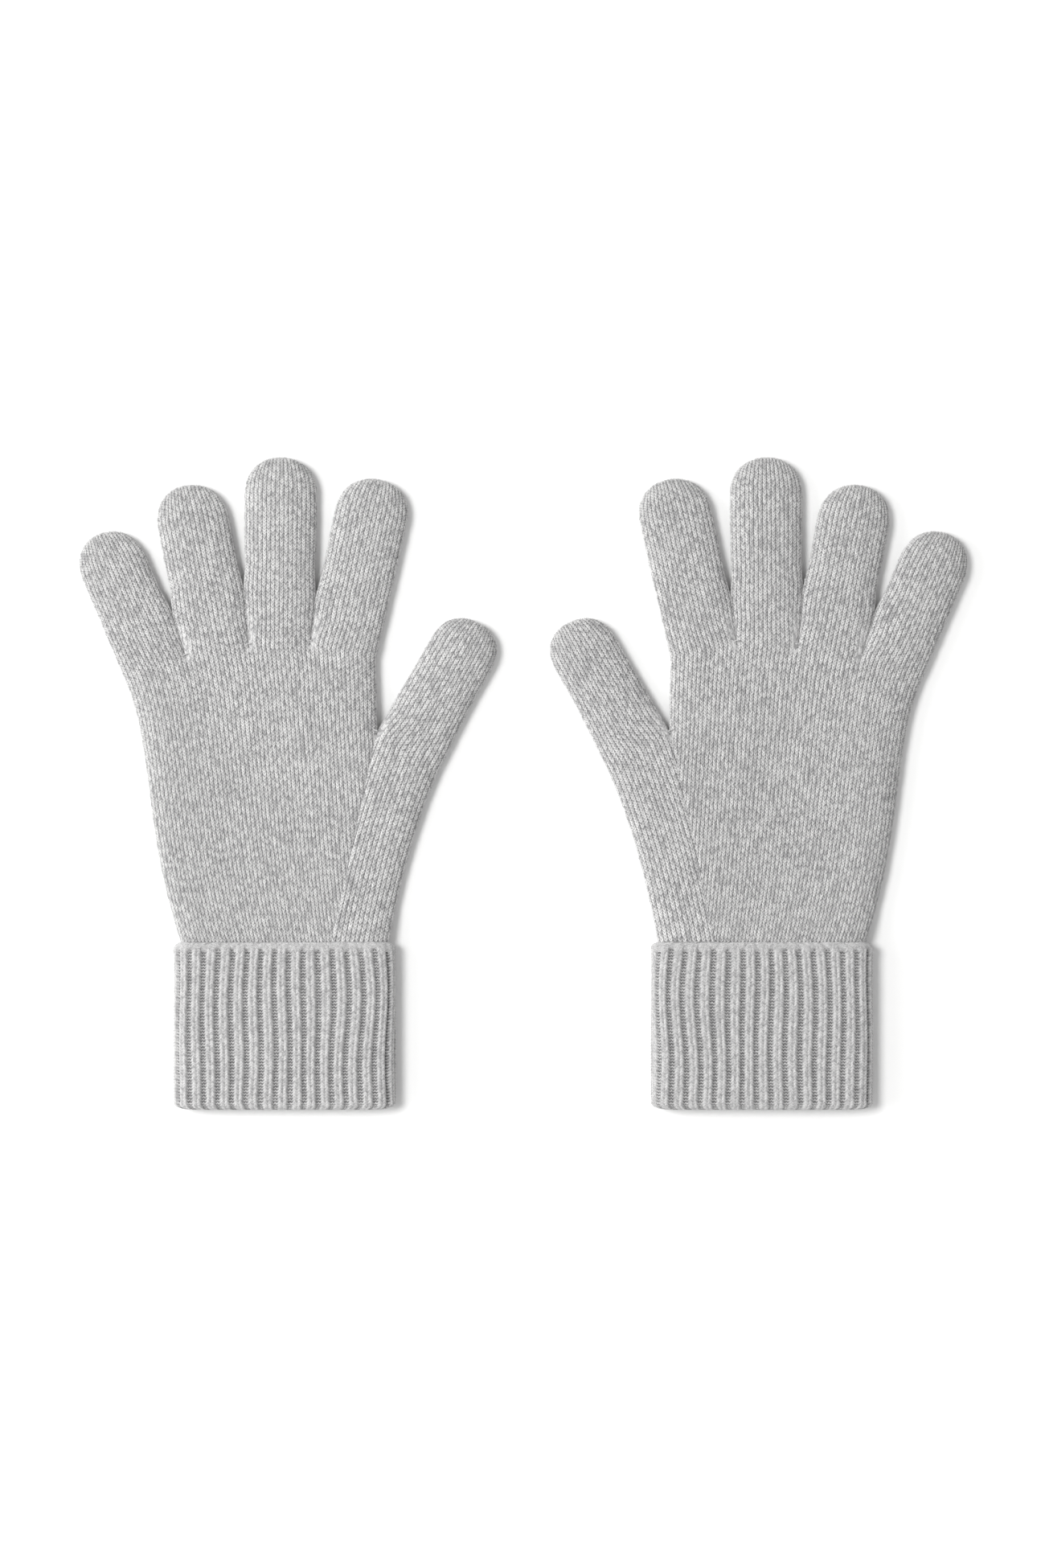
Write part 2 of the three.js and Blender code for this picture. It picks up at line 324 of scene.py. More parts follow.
@dataclass
class Panel:
    """A patch of plain knitting on a grid.

    `lay` turns wale and course shares (0 to 1) into positions in millimetres. `sink` says how
    much of the stitches is left, how deep the cloth is drawn in and how felted it is there.
    `label` names each cell's region.
    """

    name: str
    wales: int
    courses: int
    first_wale: float
    first_course: float
    face: Face
    lay: Callable[[Array, Array], Array]
    label: Callable[[Array, Array], Array]
    sink: Callable[[Array], tuple[Array, Array, Array]]
    flat_share: float = 0.5

    def mesh(self, relief: StitchRelief) -> bpy.types.Mesh:
        """Builds the patch, with its stitch height and its knit coordinates stored on it.

        Args:
            relief: The stitch heights.

        Returns:
            The mesh, in metres, its faces looking outward.
        """
        columns, rows = self.wales * CELLS_PER_WALE, self.courses * CELLS_PER_COURSE
        made, column, row = grid_mesh(self.name, columns, rows)
        across, along = column / columns, row / rows
        place = self.lay(across, along)
        made.vertices.foreach_set("co", (place * MM).ravel())
        wale = self.first_wale + across * self.wales
        course = self.first_course + along * self.courses
        quiet, sunk, felt = self.sink(place)
        pressed = self.flat_share if self.face is Face.PALM else 1.0
        heights = (relief(wale, course) * quiet - sunk) * pressed
        made.attributes.new(RELIEF, "FLOAT", "POINT").data.foreach_set("value", heights)
        made.attributes.new(FELT, "FLOAT", "POINT").data.foreach_set("value", felt)
        corner = store_knit(made, wale if self.face is Face.BACK else -wale, course)
        cells = corner.reshape(-1, 4)
        labels = self.label(place[cells].mean(axis=1), along[cells].mean(axis=1))
        made.polygons.foreach_set("material_index", labels.astype(int))
        if self.face is Face.PALM:
            made.flip_normals()
        return made


@dataclass
class HandShape:
    """The outline of a glove's hand, thumb gusset and forks, seen from above.

    The forks come from the frame's linking stitches and the stalls' lines from its hinges.
    """

    graft_above_fork: float = 0.8
    wrist_end: float = -60.4
    wrist_top: float = -44.0
    wrist_little: tuple[float, float] = (-129.2, -60.4)
    wrist_thumb: tuple[float, float] = (-51.6, -60.4)
    little_pulls: tuple = ((-140.4, 16.0), (-143.6, -22.0))
    thumb_pull: tuple[float, float] = (-44.8, -22.0)
    gusset_inner: tuple = ((-78.5, -60.4), (-70.2, -15.0))
    gusset_foot: tuple[float, float] = (-73.0, -60.0)
    mid_height: float = 4.35
    half_thickness: float = 4.0
    wrist_lift: float = 2.3
    wrist_lift_run: float = 15.0
    hand_wales: int = 60
    hand_courses: int = 95
    gusset_wales: int = 16
    gusset_courses: int = 61
    fork_wales: tuple[int, ...] = (0, 16, 30, 44, 60)
    fork_steep: float = 2.1
    crotch_steep: float = 1.5
    roll: Roll = field(default_factory=lambda: Roll(12.0, 4.0, 2.45))
    palm_power: float = 5.0
    web_rise: float = 1.25
    web_above: float = 17.0
    web_below: float = 5.0
    web_beside: float = 6.0
    welt_offset: float = 0.9
    welt_width: float = 1.6
    welt_rise: float = 0.15
    welt_foot: float = 2.6
    welt_foot_run: float = 2.0
    welt_full: float = 4.0
    welt_run: float = 12.0
    welt_flattens: float = 0.6
    quiet_reach: float = 1.8
    groove_width: float = 0.62
    groove_depth: float = 0.34
    groove_fades: float = 0.75
    groove_flattens: float = 0.8
    edge_felt: float = 0.55
    edge_felt_reach: float = 2.4
    sway: Wander = field(default_factory=lambda: Wander(5, 38, 95))
    sway_height: float = 0.45

    def __post_init__(self) -> None:
        """Takes the forks and side curves from the frame."""
        down = np.array((0.0, self.graft_above_fork))
        self.forks = [
            box_middle(f"left_{name}_fork") - down
            for name in ("little_ring", "ring_middle", "middle_index")
        ]
        self.crotch = box_middle("left_thumb_crotch") - down
        self.little_outer = self.outer_corner("little", self.forks[0])
        self.index_outer = self.outer_corner("index", self.forks[2])
        self.thumb_outer = self.outer_corner("thumb", self.crotch)
        little = bezier([self.little_outer, *self.little_pulls, self.wrist_little])
        self.little_side = little[::-1]
        self.index_side = np.array([self.wrist_thumb, self.crotch, self.index_outer])
        self.thumb_side = bezier([self.wrist_thumb, self.thumb_pull, self.thumb_outer])
        self.gusset_side = bezier([*self.gusset_inner, self.crotch])
        self.top_row = np.array([self.little_outer, *self.forks, self.index_outer])
        foot = np.array(self.gusset_foot)
        line = (self.crotch - foot) / np.linalg.norm(self.crotch - foot)
        self.gusset_normal = np.array((line[1], -line[0]))
        self.gusset_length = float(np.linalg.norm(self.crotch - foot))

    @staticmethod
    def stall_line(name: str) -> tuple[Array, Array]:
        """Returns a point on a stall's middle line and the line's direction, in plan."""
        root = "thumb_root_bend" if name == "thumb" else f"{name}_knuckle_bend"
        start = plan_point(joint(f"left_{root}")["pos_m"])
        ahead = plan_point(joint(f"left_{name}_mid_bend")["pos_m"]) - start
        return start, ahead / np.linalg.norm(ahead)

    def outer_corner(self, name: str, inner: Array) -> Array:
        """Returns the point that faces a stall's inner corner across its middle line."""
        start, along = self.stall_line(name)
        away = inner - start
        return start + 2 * (away @ along) * along - away

    def lift(self, y: Array) -> Array:
        """Returns how far the wrist rises into the cuff at each y."""
        return self.wrist_lift * smoothstep((self.wrist_top - y) / self.wrist_lift_run)

    def outward(self, x: Array, y: Array, side_distance: Array) -> Array:
        """Says how far out towards the rolled edges each point lies.

        Args:
            x: Across, in millimetres.
            y: Along, in millimetres.
            side_distance: The distance from the panel's own long side.

        Returns:
            0 on the flat of the hand, 1 on an edge, a fork or the crotch.
        """
        reach = self.roll.reach
        near = [np.clip(1 - side_distance / reach, 0, 1)]
        for fork in self.forks:
            away = np.hypot(x - fork[0], self.fork_steep * (y - fork[1]))
            near.append(np.clip(1 - away / reach, 0, 1))
        run = self.index_outer - self.crotch
        length = np.linalg.norm(run)
        run = run / length
        from_x, from_y = x - self.crotch[0], y - self.crotch[1]
        ahead = from_x * run[0] + from_y * run[1]
        beyond = np.maximum(-ahead, 0) + np.maximum(ahead - length, 0)
        beside = from_x * run[1] - from_y * run[0]
        away = np.hypot(beside, self.crotch_steep * beyond)
        near.append(np.clip(1 - away / reach, 0, 1))
        return np.clip(sum(n**4 for n in near) ** 0.25, 0, 1)

    def heights(self, x: Array, y: Array, outward: Array, face: Face) -> Array:
        """Returns the height of the cloth at each point of a face, in millimetres."""
        lift = self.lift(y)
        edge = self.mid_height + lift + self.web_rise * self.near_fork(x, y)
        if face is Face.BACK:
            top = self.mid_height + lift + self.half_thickness
            swell = self.sway_height * self.sway(x, y) * (1 - outward**2)
            return mix(edge, top, self.roll.height(outward)) + swell
        under = self.mid_height + lift - self.half_thickness
        return mix(edge, under, (1 - outward**self.palm_power) ** (1 / self.palm_power))

    def near_fork(self, x: Array, y: Array) -> Array:
        """Returns 1 at a fork or the crotch, where the two layers meet high, fading to 0."""
        near = np.zeros(len(x))
        for corner in (*self.forks, self.crotch):
            along = np.where(y > corner[1], self.web_above, self.web_below)
            away = np.hypot((x - corner[0]) / self.web_beside, (y - corner[1]) / along)
            near = np.maximum(near, np.exp(-(away**2)))
        return near

    def lay_hand(self, across: Array, along: Array, face: Face) -> Array:
        """Places the hand's own wales, as if the thumb gusset weren't there.

        Args:
            across: Share of the way from the little finger's side to the index side.
            along: Share of the way from the wrist to the forks.
            face: Back or palm.

        Returns:
            Positions in millimetres.
        """
        wale = across * self.hand_wales
        tops = np.interp(wale, self.fork_wales, self.top_row[:, 1])
        mean = float(self.top_row[:, 1].mean())
        y = self.wrist_end + (mean - self.wrist_end) * along + (tops - mean) * along**2

        def side_y(top: float) -> Array:
            rise = (mean - self.wrist_end) * along
            return self.wrist_end + rise + (top - mean) * along**2

        little_y = side_y(self.top_row[0, 1])
        index_y = side_y(self.top_row[-1, 1])
        left = np.interp(little_y, self.little_side[:, 1], self.little_side[:, 0])
        right = np.interp(index_y, self.index_side[:, 1], self.index_side[:, 0])
        width = right - left
        cloth = width + 2 * self.roll.extra
        top_width = self.top_row[-1, 0] - self.top_row[0, 0]
        knots = self.top_row[:, 0] - self.top_row[0, 0] + self.roll.extra
        knots = knots / (top_width + 2 * self.roll.extra)
        knots[0], knots[-1] = 0, 1
        share = mix(across, np.interp(wale, self.fork_wales, knots), smoothstep(along))
        walked = share * cloth
        from_left = self.roll.plan(np.minimum(walked, cloth / 2))
        from_right = self.roll.plan(np.minimum(cloth - walked, cloth / 2))
        x = np.where(share < 0.5, left + from_left, right - from_right)
        little_slope = np.gradient(self.little_side[:, 0], self.little_side[:, 1])
        lean = np.interp(y, self.little_side[:, 1], little_slope)
        outward = self.outward(x, y, (x - left) / np.hypot(1, lean))
        return np.stack([x, y, self.heights(x, y, outward, face)], axis=1)

    def lay_gusset(self, across: Array, along: Array, face: Face) -> Array:
        """Places the gusset's wales, which run beside the thumb's outer edge.

        Args:
            across: Share of the way from the gusset line to the outer edge.
            along: Share of the way from the wrist to the thumb.
            face: Back or palm.

        Returns:
            Positions in millimetres.
        """
        steps = np.linspace(0, 1, len(self.thumb_side))

        def on(curve: Array) -> Array:
            return np.stack([np.interp(along, steps, curve[:, i]) for i in (0, 1)], axis=1)

        outer, inner = on(self.thumb_side), on(self.gusset_side)
        width = np.linalg.norm(outer - inner, axis=1)
        walked = (1 - across) * (width + self.roll.extra)
        inward = np.minimum(self.roll.plan(walked), width)
        place = outer + (inner - outer) * (inward / width)[:, None]
        x, y = place[:, 0], place[:, 1]
        outward = self.outward(x, y, inward)
        return np.stack([x, y, self.heights(x, y, outward, face)], axis=1)

    def welt(self, plan: Array) -> Array:
        """Returns 1 on the felted welt that runs from each stall's inner side past its fork."""
        best = np.zeros(len(plan))
        for corner, name in zip((*self.forks, self.crotch), STALLS[1:]):
            _, along = self.stall_line(name)
            from_corner = plan - corner
            s = from_corner @ along
            t = from_corner @ np.array((along[1], -along[0]))
            across = np.exp(-(((t - self.welt_offset) / self.welt_width) ** 2))
            foot = smoothstep((s + self.welt_foot) / self.welt_foot_run)
            end = 1 - smoothstep((s - self.welt_full) / self.welt_run)
            best = np.maximum(best, across * (foot * end))
        return best

    def sink(self, place: Array) -> tuple[Array, Array, Array]:
        """Says where the stitches fade out, where the cloth is drawn in and where it is felted.

        Args:
            place: Positions in millimetres.

        Returns:
            The share of the stitches' height that is left, how deep the cloth is drawn in, and
            how felted it is, 0 to 1.
        """
        plan = place[:, :2]
        quiet = np.ones(len(plan))
        for corner in (*self.forks, self.crotch):
            quiet *= smoothstep(np.linalg.norm(plan - corner, axis=1) / self.quiet_reach)
        off = (plan - self.crotch) @ self.gusset_normal
        line = np.array((-self.gusset_normal[1], self.gusset_normal[0]))
        down = -((plan - self.crotch) @ line)
        inside = smoothstep((down + 1.0) / 2.0)
        fade = 1 - self.groove_fades * smoothstep(down / self.gusset_length)
        groove = np.exp(-((off / self.groove_width) ** 2)) * inside * fade
        welt = self.welt(plan)
        rolled = np.abs(place[:, 2] - self.mid_height - self.lift(place[:, 1]))
        felt = np.maximum(welt, self.edge_felt * (1 - smoothstep(rolled / self.edge_felt_reach)))
        left = quiet * (1 - self.groove_flattens * groove) * (1 - self.welt_flattens * welt)
        return left, self.groove_depth * groove - self.welt_rise * welt, felt


@dataclass
class StallShape:
    """A finger or thumb stall: its middle line from the frame, its width along it."""

    name: str
    halves: tuple[float, float]
    round_end: float
    bend_share: float
    inner_extra: int
    host_wales: tuple[int, int]
    hand: HandShape
    wales: int = 18
    short: float = 0.6
    settle: float = 12.0
    tip_power: float = 2.15
    course_pitch: float = 1.15
    press: float = 0.14
    part_run: float = 16.0
    swell_share: float = 0.4

    def __post_init__(self) -> None:
        """Takes the stall's corners, axes and length from the hand and the frame."""
        hand = self.hand
        if self.name == "thumb":
            left, right = hand.crotch, hand.thumb_outer
        else:
            at = FINGERS.index(self.name)
            left, right = hand.top_row[at], hand.top_row[at + 1]
        self.middle = (left + right) / 2
        _, self.along = hand.stall_line(self.name)
        self.across = np.array((self.along[1], -self.along[0]))
        mid = plan_point(joint(f"left_{self.name}_mid_bend")["pos_m"])
        self.bend_at = float((mid - self.middle) @ self.along)
        self.length = self.bend_at / self.bend_share - self.short
        self.shoulder = self.length - self.round_end
        self.half = sum(self.halves) / 2
        self.roll = Roll(self.half, hand.half_thickness, hand.roll.power)
        self.tip_roll = Roll(self.round_end, hand.half_thickness, hand.roll.power)
        swell = self.shoulder * self.swell_share
        self.sides = []
        for corner, half in zip((left, right), self.halves):
            offset = corner - self.middle
            start, wide = float(offset @ self.along), abs(float(offset @ self.across))
            pull = (swell * 0.6, wide * 0.9 + half * 0.1)
            self.sides.append(
                bezier([(start, wide), pull, (swell, half), (self.shoulder, half)])
            )
        self.cloth = self.shoulder + float(self.tip_roll.travelled[-1])
        self.courses = round(self.cloth / self.course_pitch)

    def side_line(self, which: int) -> Array:
        """Returns a side's line in plan: 0 for the inner side, 1 for the outer."""
        s, wide = self.sides[which][:, :1], self.sides[which][:, 1:]
        return self.middle + s * self.along + (2 * which - 1) * wide * self.across

    def meet(self, other: "StallShape", fork: Array, touch: float) -> None:
        """Brings this stall's outer side and its neighbour's inner side together above a fork.

        Args:
            other: The next stall towards the thumb.
            fork: The corner between them.
            touch: How far above the fork they stay together.
        """
        own, its = self.side_line(1), other.side_line(0)
        for stall, which, line, way in ((self, 1, own, 1), (other, 0, its, -1)):
            held = 1 - smoothstep((line[:, 1] - fork[1] - touch) / self.part_run)
            middle = (
                np.interp(line[:, 1], own[:, 1], own[:, 0])
                + np.interp(line[:, 1], its[:, 1], its[:, 0])
            ) / 2
            x = mix(line[:, 0], middle + way * self.press, held)
            offset = np.stack([x, line[:, 1]], axis=1) - stall.middle
            stall.sides[which] = np.stack(
                [offset @ stall.along, np.abs(offset @ stall.across)], axis=1
            )

    def base(self, wale: Array, face: Face) -> Array:
        """Returns where the stall's first course joins the hand or the gusset."""
        first, last = self.host_wales
        host = np.clip(wale - self.inner_extra, 0, last - first) + first
        end = np.ones(len(wale))
        if self.name == "thumb":
            return self.hand.lay_gusset(host / self.hand.gusset_wales, end, face)
        return self.hand.lay_hand(host / self.hand.hand_wales, end, face)

    def target(self, across: Array, along: Array, face: Face) -> tuple[Array, Array]:
        """Places the stall as a free tube.

        Args:
            across: Share of the way round one face.
            along: Share of the way from the base to the tip.
            face: Back or palm.

        Returns:
            Positions in millimetres, and the distance of each along the stall.
        """
        turn = 2 * across - 1
        reach = self.roll.travelled[-1]
        out = np.sign(turn) * (1 - self.roll.plan((1 - np.abs(turn)) * reach) / self.half)
        walked = along * self.cloth
        from_tip = self.tip_roll.plan(self.cloth - np.maximum(walked, self.shoulder))
        end = np.clip(1 - from_tip / self.round_end, 0, 1)
        power = self.tip_power
        narrow = (1 - end**power / 2) ** (1 / power)
        short = (1 - np.abs(out) ** power / 2) ** (1 / power)
        s = np.minimum(walked, self.shoulder) + end * short * self.round_end
        low, high = (np.interp(s, side[:, 0], side[:, 1]) for side in self.sides)
        t = out * narrow * np.where(out < 0, low, high)
        outward = ((np.abs(out) * narrow) ** power + (end * short) ** power) ** (1 / power)
        outward = np.where(end > 0, outward, np.abs(out))
        plan = self.middle + s[:, None] * self.along + t[:, None] * self.across
        z = self.hand.heights(plan[:, 0], plan[:, 1], np.clip(outward, 0, 1), face)
        return np.concatenate([plan, z[:, None]], axis=1), s

    def lay(self, across: Array, along: Array, face: Face) -> Array:
        """Places the stall's wales, easing from the hand's last course into the free tube.

        Args:
            across: Share of the way round one face.
            along: Share of the way from the base to the tip.
            face: Back or palm.

        Returns:
            Positions in millimetres.
        """
        free, s = self.target(across, along, face)
        start, _ = self.target(across, np.zeros(len(across)), face)
        ease = 1 - smoothstep(s / self.settle)
        ease = np.where(along <= 0, 1.0, ease)
        return free + (self.base(across * self.wales, face) - start) * ease[:, None]


@dataclass
class GloveShell:
    """The knitted shell of one glove above its cuff: hand, gusset, five stalls."""

    bend_half: float = 6.0
    touches: tuple[float, float, float] = (12.0, 17.0, 12.5)
    hand: HandShape = field(default_factory=HandShape)
    relief: StitchRelief = field(default_factory=StitchRelief)

    def __post_init__(self) -> None:
        """Settles the stalls and the names of the regions."""
        hand = self.hand
        self.stalls = [
            StallShape("little", (11.8, 13.3), 15, 0.60, 0, (0, 16), hand),
            StallShape("ring", (12.5, 14.2), 15, 0.56, 2, (16, 30), hand),
            StallShape("middle", (13.2, 13.5), 14, 0.55, 2, (30, 44), hand),
            StallShape("index", (14.1, 12.9), 14, 0.56, 2, (44, 60), hand),
            StallShape("thumb", (13.4, 11.7), 13, 0.58, 2, (0, 16), hand),
        ]
        for at, touch in enumerate(self.touches):
            self.stalls[at].meet(self.stalls[at + 1], hand.forks[at], touch)
        self.regions = ["hand_back", "hand_palm", "wrist", "thumb_gusset"]
        for name in STALLS:
            kind = "thumb" if name == "thumb" else f"{name}_finger"
            self.regions += [kind, f"{kind}_tip"]

    def hand_panel(self, face: Face) -> Panel:
        """Returns the panel of one face of the hand, wrist included."""
        hand = self.hand
        own = self.regions.index("hand_back" if face is Face.BACK else "hand_palm")
        wrist = self.regions.index("wrist")
        return Panel(
            f"hand_{face.name}", hand.hand_wales, hand.hand_courses, 0, 0, face,
            lambda across, along: hand.lay_hand(across, along, face),
            lambda place, along: np.where(place[:, 1] < hand.wrist_top, wrist, own),
            hand.sink,
        )

    def gusset_panel(self, face: Face) -> Panel:
        """Returns the panel of one face of the thumb gusset."""
        hand = self.hand
        own, wrist = self.regions.index("thumb_gusset"), self.regions.index("wrist")
        return Panel(
            f"gusset_{face.name}", hand.gusset_wales, hand.gusset_courses, GUSSET_FIRST_WALE,
            hand.hand_courses - hand.gusset_courses - GUSSET_TOP_BELOW, face,
            lambda across, along: hand.lay_gusset(across, along, face),
            lambda place, along: np.where(place[:, 1] < hand.wrist_top, wrist, own),
            hand.sink,
        )

    def stall_panel(self, stall: StallShape, face: Face) -> Panel:
        """Returns the panel of one face of a stall."""
        hand = self.hand
        kind = "thumb" if stall.name == "thumb" else f"{stall.name}_finger"
        lower, tip = self.regions.index(kind), self.regions.index(f"{kind}_tip")
        parts = math.floor((stall.bend_at - self.bend_half) / stall.cloth
                           * stall.courses * CELLS_PER_COURSE)
        part = parts / (stall.courses * CELLS_PER_COURSE)
        first = stall.host_wales[0] - stall.inner_extra
        course = hand.hand_courses
        if stall.name == "thumb":
            first, course = first + GUSSET_FIRST_WALE, hand.hand_courses - GUSSET_TOP_BELOW
        return Panel(
            f"{stall.name}_{face.name}", stall.wales, stall.courses, first, course, face,
            lambda across, along: stall.lay(across, along, face),
            lambda place, along: np.where(along < part, lower, tip),
            hand.sink,
        )

    def cut_at_gusset(self, mesh: bpy.types.Mesh, keep_hand: bool) -> None:
        """Cuts a panel along the gusset line, in place.

        Args:
            mesh: The panel's mesh.
            keep_hand: Keeps the hand's side of the line, not the thumb's.
        """
        normal = Vector((*self.hand.gusset_normal, 0))
        cut = bmesh.new()
        cut.from_mesh(mesh)
        bmesh.ops.bisect_plane(
            cut, geom=cut.verts[:] + cut.edges[:] + cut.faces[:], dist=1e-7,
            plane_co=Vector((*self.hand.crotch, 0)) * MM, plane_no=normal,
            clear_outer=keep_hand, clear_inner=not keep_hand,
        )
        cut.to_mesh(mesh)
        cut.free()

    def whole(self) -> bpy.types.Object:
        """Builds the left glove's shell in one mesh, with every stitch raised.

        Returns:
            The object, each face's material index naming its region.
        """
        shell = bmesh.new()
        for face in Face:
            hand = self.hand_panel(face).mesh(self.relief)
            gusset = self.gusset_panel(face).mesh(self.relief)
            self.cut_at_gusset(hand, True)
            self.cut_at_gusset(gusset, False)
            stalls = [self.stall_panel(s, face).mesh(self.relief) for s in self.stalls]
            for mesh in (hand, gusset, *stalls):
                shell.from_mesh(mesh)
                bpy.data.meshes.remove(mesh)
        bmesh.ops.remove_doubles(shell, verts=shell.verts, dist=WELD)
        bmesh.ops.dissolve_degenerate(shell, dist=WELD, edges=shell.edges)
        made = bpy.data.meshes.new("shell")
        for region in self.regions:
            made.materials.append(bpy.data.materials.new(region))
        shell.to_mesh(made)
        shell.free()
        made.shade_smooth()
        heights = read(made.attributes[RELIEF].data, "value")[:, None]
        raised = read(made.vertex_normals, "vector", 3) * heights * MM
        points = read(made.vertices, "co", 3) + raised
        made.vertices.foreach_set("co", points.ravel())
        made.update()
        normals = read(made.vertex_normals, "vector", 3).ravel()
        made.attributes.new(NORMAL, "FLOAT_VECTOR", "POINT").data.foreach_set("vector", normals)
        made.attributes.remove(made.attributes[RELIEF])
        return placed("shell", made)

    def parted(self) -> dict[str, bpy.types.Mesh]:
        """Parts the shell where the glove bends.

        Returns:
            The mesh of each region by its name.
        """
        body = self.whole()
        before = set(bpy.data.objects)
        bpy.ops.object.select_all(action="DESELECT")
        bpy.context.view_layer.objects.active = body
        body.select_set(True)
        bpy.ops.object.mode_set(mode="EDIT")
        bpy.ops.mesh.separate(type="MATERIAL")
        bpy.ops.object.mode_set(mode="OBJECT")
        found = {}
        for part in [body] + [o for o in bpy.data.objects if o not in before]:
            mesh = part.data
            region = mesh.materials[mesh.polygons[0].material_index].name
            mesh.materials.clear()
            found[region] = mesh
            bpy.data.objects.remove(part)
        return found


class Yarnwork:
    """Turns meshes into named pieces of a glove."""

    def __init__(self, finishes: dict[Stitch, bpy.types.Material]) -> None:
        """Keeps the finishes to dress pieces with."""
        self.finishes = finishes
        self.slots = {
            Stitch.PLAIN: "plain_knit", Stitch.RIB: "rib_knit", Stitch.LINKING: "linking_yarn",
        }

    def mirrored(self, mesh: bpy.types.Mesh) -> bpy.types.Mesh:
        """Returns a copy of a left glove's mesh, turned into the right glove's."""
        copy = mesh.copy()
        mirror = np.array((-1.0, 1.0, 1.0))
        points = read(copy.vertices, "co", 3) * mirror
        copy.vertices.foreach_set("co", points.ravel())
        copy.flip_normals()
        if NORMAL in copy.attributes:
            kept = copy.attributes[NORMAL].data
            kept.foreach_set("vector", (read(kept, "vector", 3) * mirror).ravel())
        if UV_NAME in copy.uv_layers:
            knit = copy.uv_layers[UV_NAME].data
            knit.foreach_set("uv", (read(knit, "uv", 2) + (MIRROR_WALES, 0)).ravel())
        return copy

    def piece(self, name: str, side: Side, mesh: bpy.types.Mesh, stitch: Stitch,
              nodes: tuple[str, ...]) -> bpy.types.Object:
        """Makes a piece from a left glove's mesh.

        Args:
            name: The piece's name without its side.
            side: Which glove it belongs to.
            mesh: The left glove's mesh.
            stitch: How it is knitted.
            nodes: The CAD nodes that it stands for, without their side.

        Returns:
            The piece, dressed and listed, riding on nothing yet.
        """
        own = self.mirrored(mesh) if side is Side.RIGHT else mesh.copy()
        own.name = f"{side.value}_{name}"
        own.materials.clear()
        own.materials.append(self.finishes[stitch])
        own.polygons.foreach_set("material_index", np.zeros(len(own.polygons), int))
        own.shade_smooth()
        if NORMAL in own.attributes:
            normals = read(own.attributes[NORMAL].data, "vector", 3)
            own.attributes.remove(own.attributes[NORMAL])
            own.normals_split_custom_set_from_vertices(normals)
        made = placed(own.name, own)
        if nodes:
            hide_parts(*(f"{side.value}_{node}" for node in nodes))
        log.info("%s: %d faces", made.name, len(own.polygons))
        return made

    @staticmethod
    def ride(piece: bpy.types.Object, side: Side, body: str) -> None:
        """Lets a piece move with a body of its glove."""
        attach(piece, f"{side.value}_{body}")

    @staticmethod
    def bend(piece: bpy.types.Object, side: Side, name: str, reach: tuple[float, float]) -> None:
        """Bakes a piece's place into its mesh at a hinge of its glove; nothing is set up to bend it.

        Args:
            piece: The piece, its mesh final.
            side: Which glove it belongs to.
            name: The joint's name without its side.
            reach: How far before and after the hinge it was to bend, in millimetres; not used.
        """
        row = joint(f"{side.value}_{name}")
        axis = Vector(row["axis"])
        ahead = Vector((-axis.y, axis.x, 0)).normalized()
        if (ahead.y < 0) != (name == "wrist_bend"):
            ahead.negate()
        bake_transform(piece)

    @staticmethod
    def stretch(piece: bpy.types.Object, side: Side, name: str, start: float, reach: float) -> None:
        """Bakes a piece's place into its mesh; nothing is set up to stretch its far end after a
        slide of its glove.

        Args:
            piece: The piece, its mesh final.
            side: Which glove it belongs to; not used.
            name: The joint's name without its side; not used.
            start: The y where it was to begin to stretch, in millimetres; not used.
            reach: How far beyond that it was to follow the slide in full; not used.
        """
        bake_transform(piece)


@dataclass
class Meridian:
    """The line that a ring of rib is swept from: along the glove, and in from its outside."""

    y: list = field(default_factory=list)
    depth: list = field(default_factory=list)
    normal_y: list = field(default_factory=list)
    normal_depth: list = field(default_factory=list)
    rib: list = field(default_factory=list)

    def add(self, y: float, depth: float, normal_y: float, normal_depth: float,
            rib: float) -> None:
        """Adds a row: its place, the way its cloth faces and its share of the rib's height."""
        self.y.append(y)
        self.depth.append(depth)
        self.normal_y.append(normal_y)
        self.normal_depth.append(normal_depth)
        self.rib.append(rib)

    def run(self, start: tuple[float, float], end: tuple[float, float], steps: int,
            facing: float, rib: float) -> None:
        """Adds a straight length.

        Args:
            start: Its first y and depth.
            end: Its last y and depth, not itself added.
            steps: How many rows it has.
            facing: -1 where the cloth faces outward, 1 where it faces the hand.
            rib: The share of the rib's height that it has.
        """
        for step in range(steps):
            share = step / steps
            y, depth = mix(start[0], end[0], share), mix(start[1], end[1], share)
            self.add(y, depth, 0.0, facing, rib)

    def fold(self, centre: tuple[float, float], radius: float, steps: int, heading: float,
             rib: float, first: float = 0.0, last: float = 1.0) -> None:
        """Adds a half turn from the outside to the inside, or a part of one.

        Args:
            centre: The y and depth of its middle.
            radius: Of the turn.
            steps: How many rows it has.
            heading: -1 where it turns below its middle, 1 above.
            rib: The share of the rib's height that it has.
            first: Share of the half turn where it starts.
            last: Share of the half turn where it ends.
        """
        for step in range(steps):
            angle = math.pi * mix(first, last, step / steps)
            along, inward = heading * math.sin(angle), -math.cos(angle)
            y, depth = centre[0] + radius * along, centre[1] + radius * inward
            self.add(y, depth, along, inward, rib)


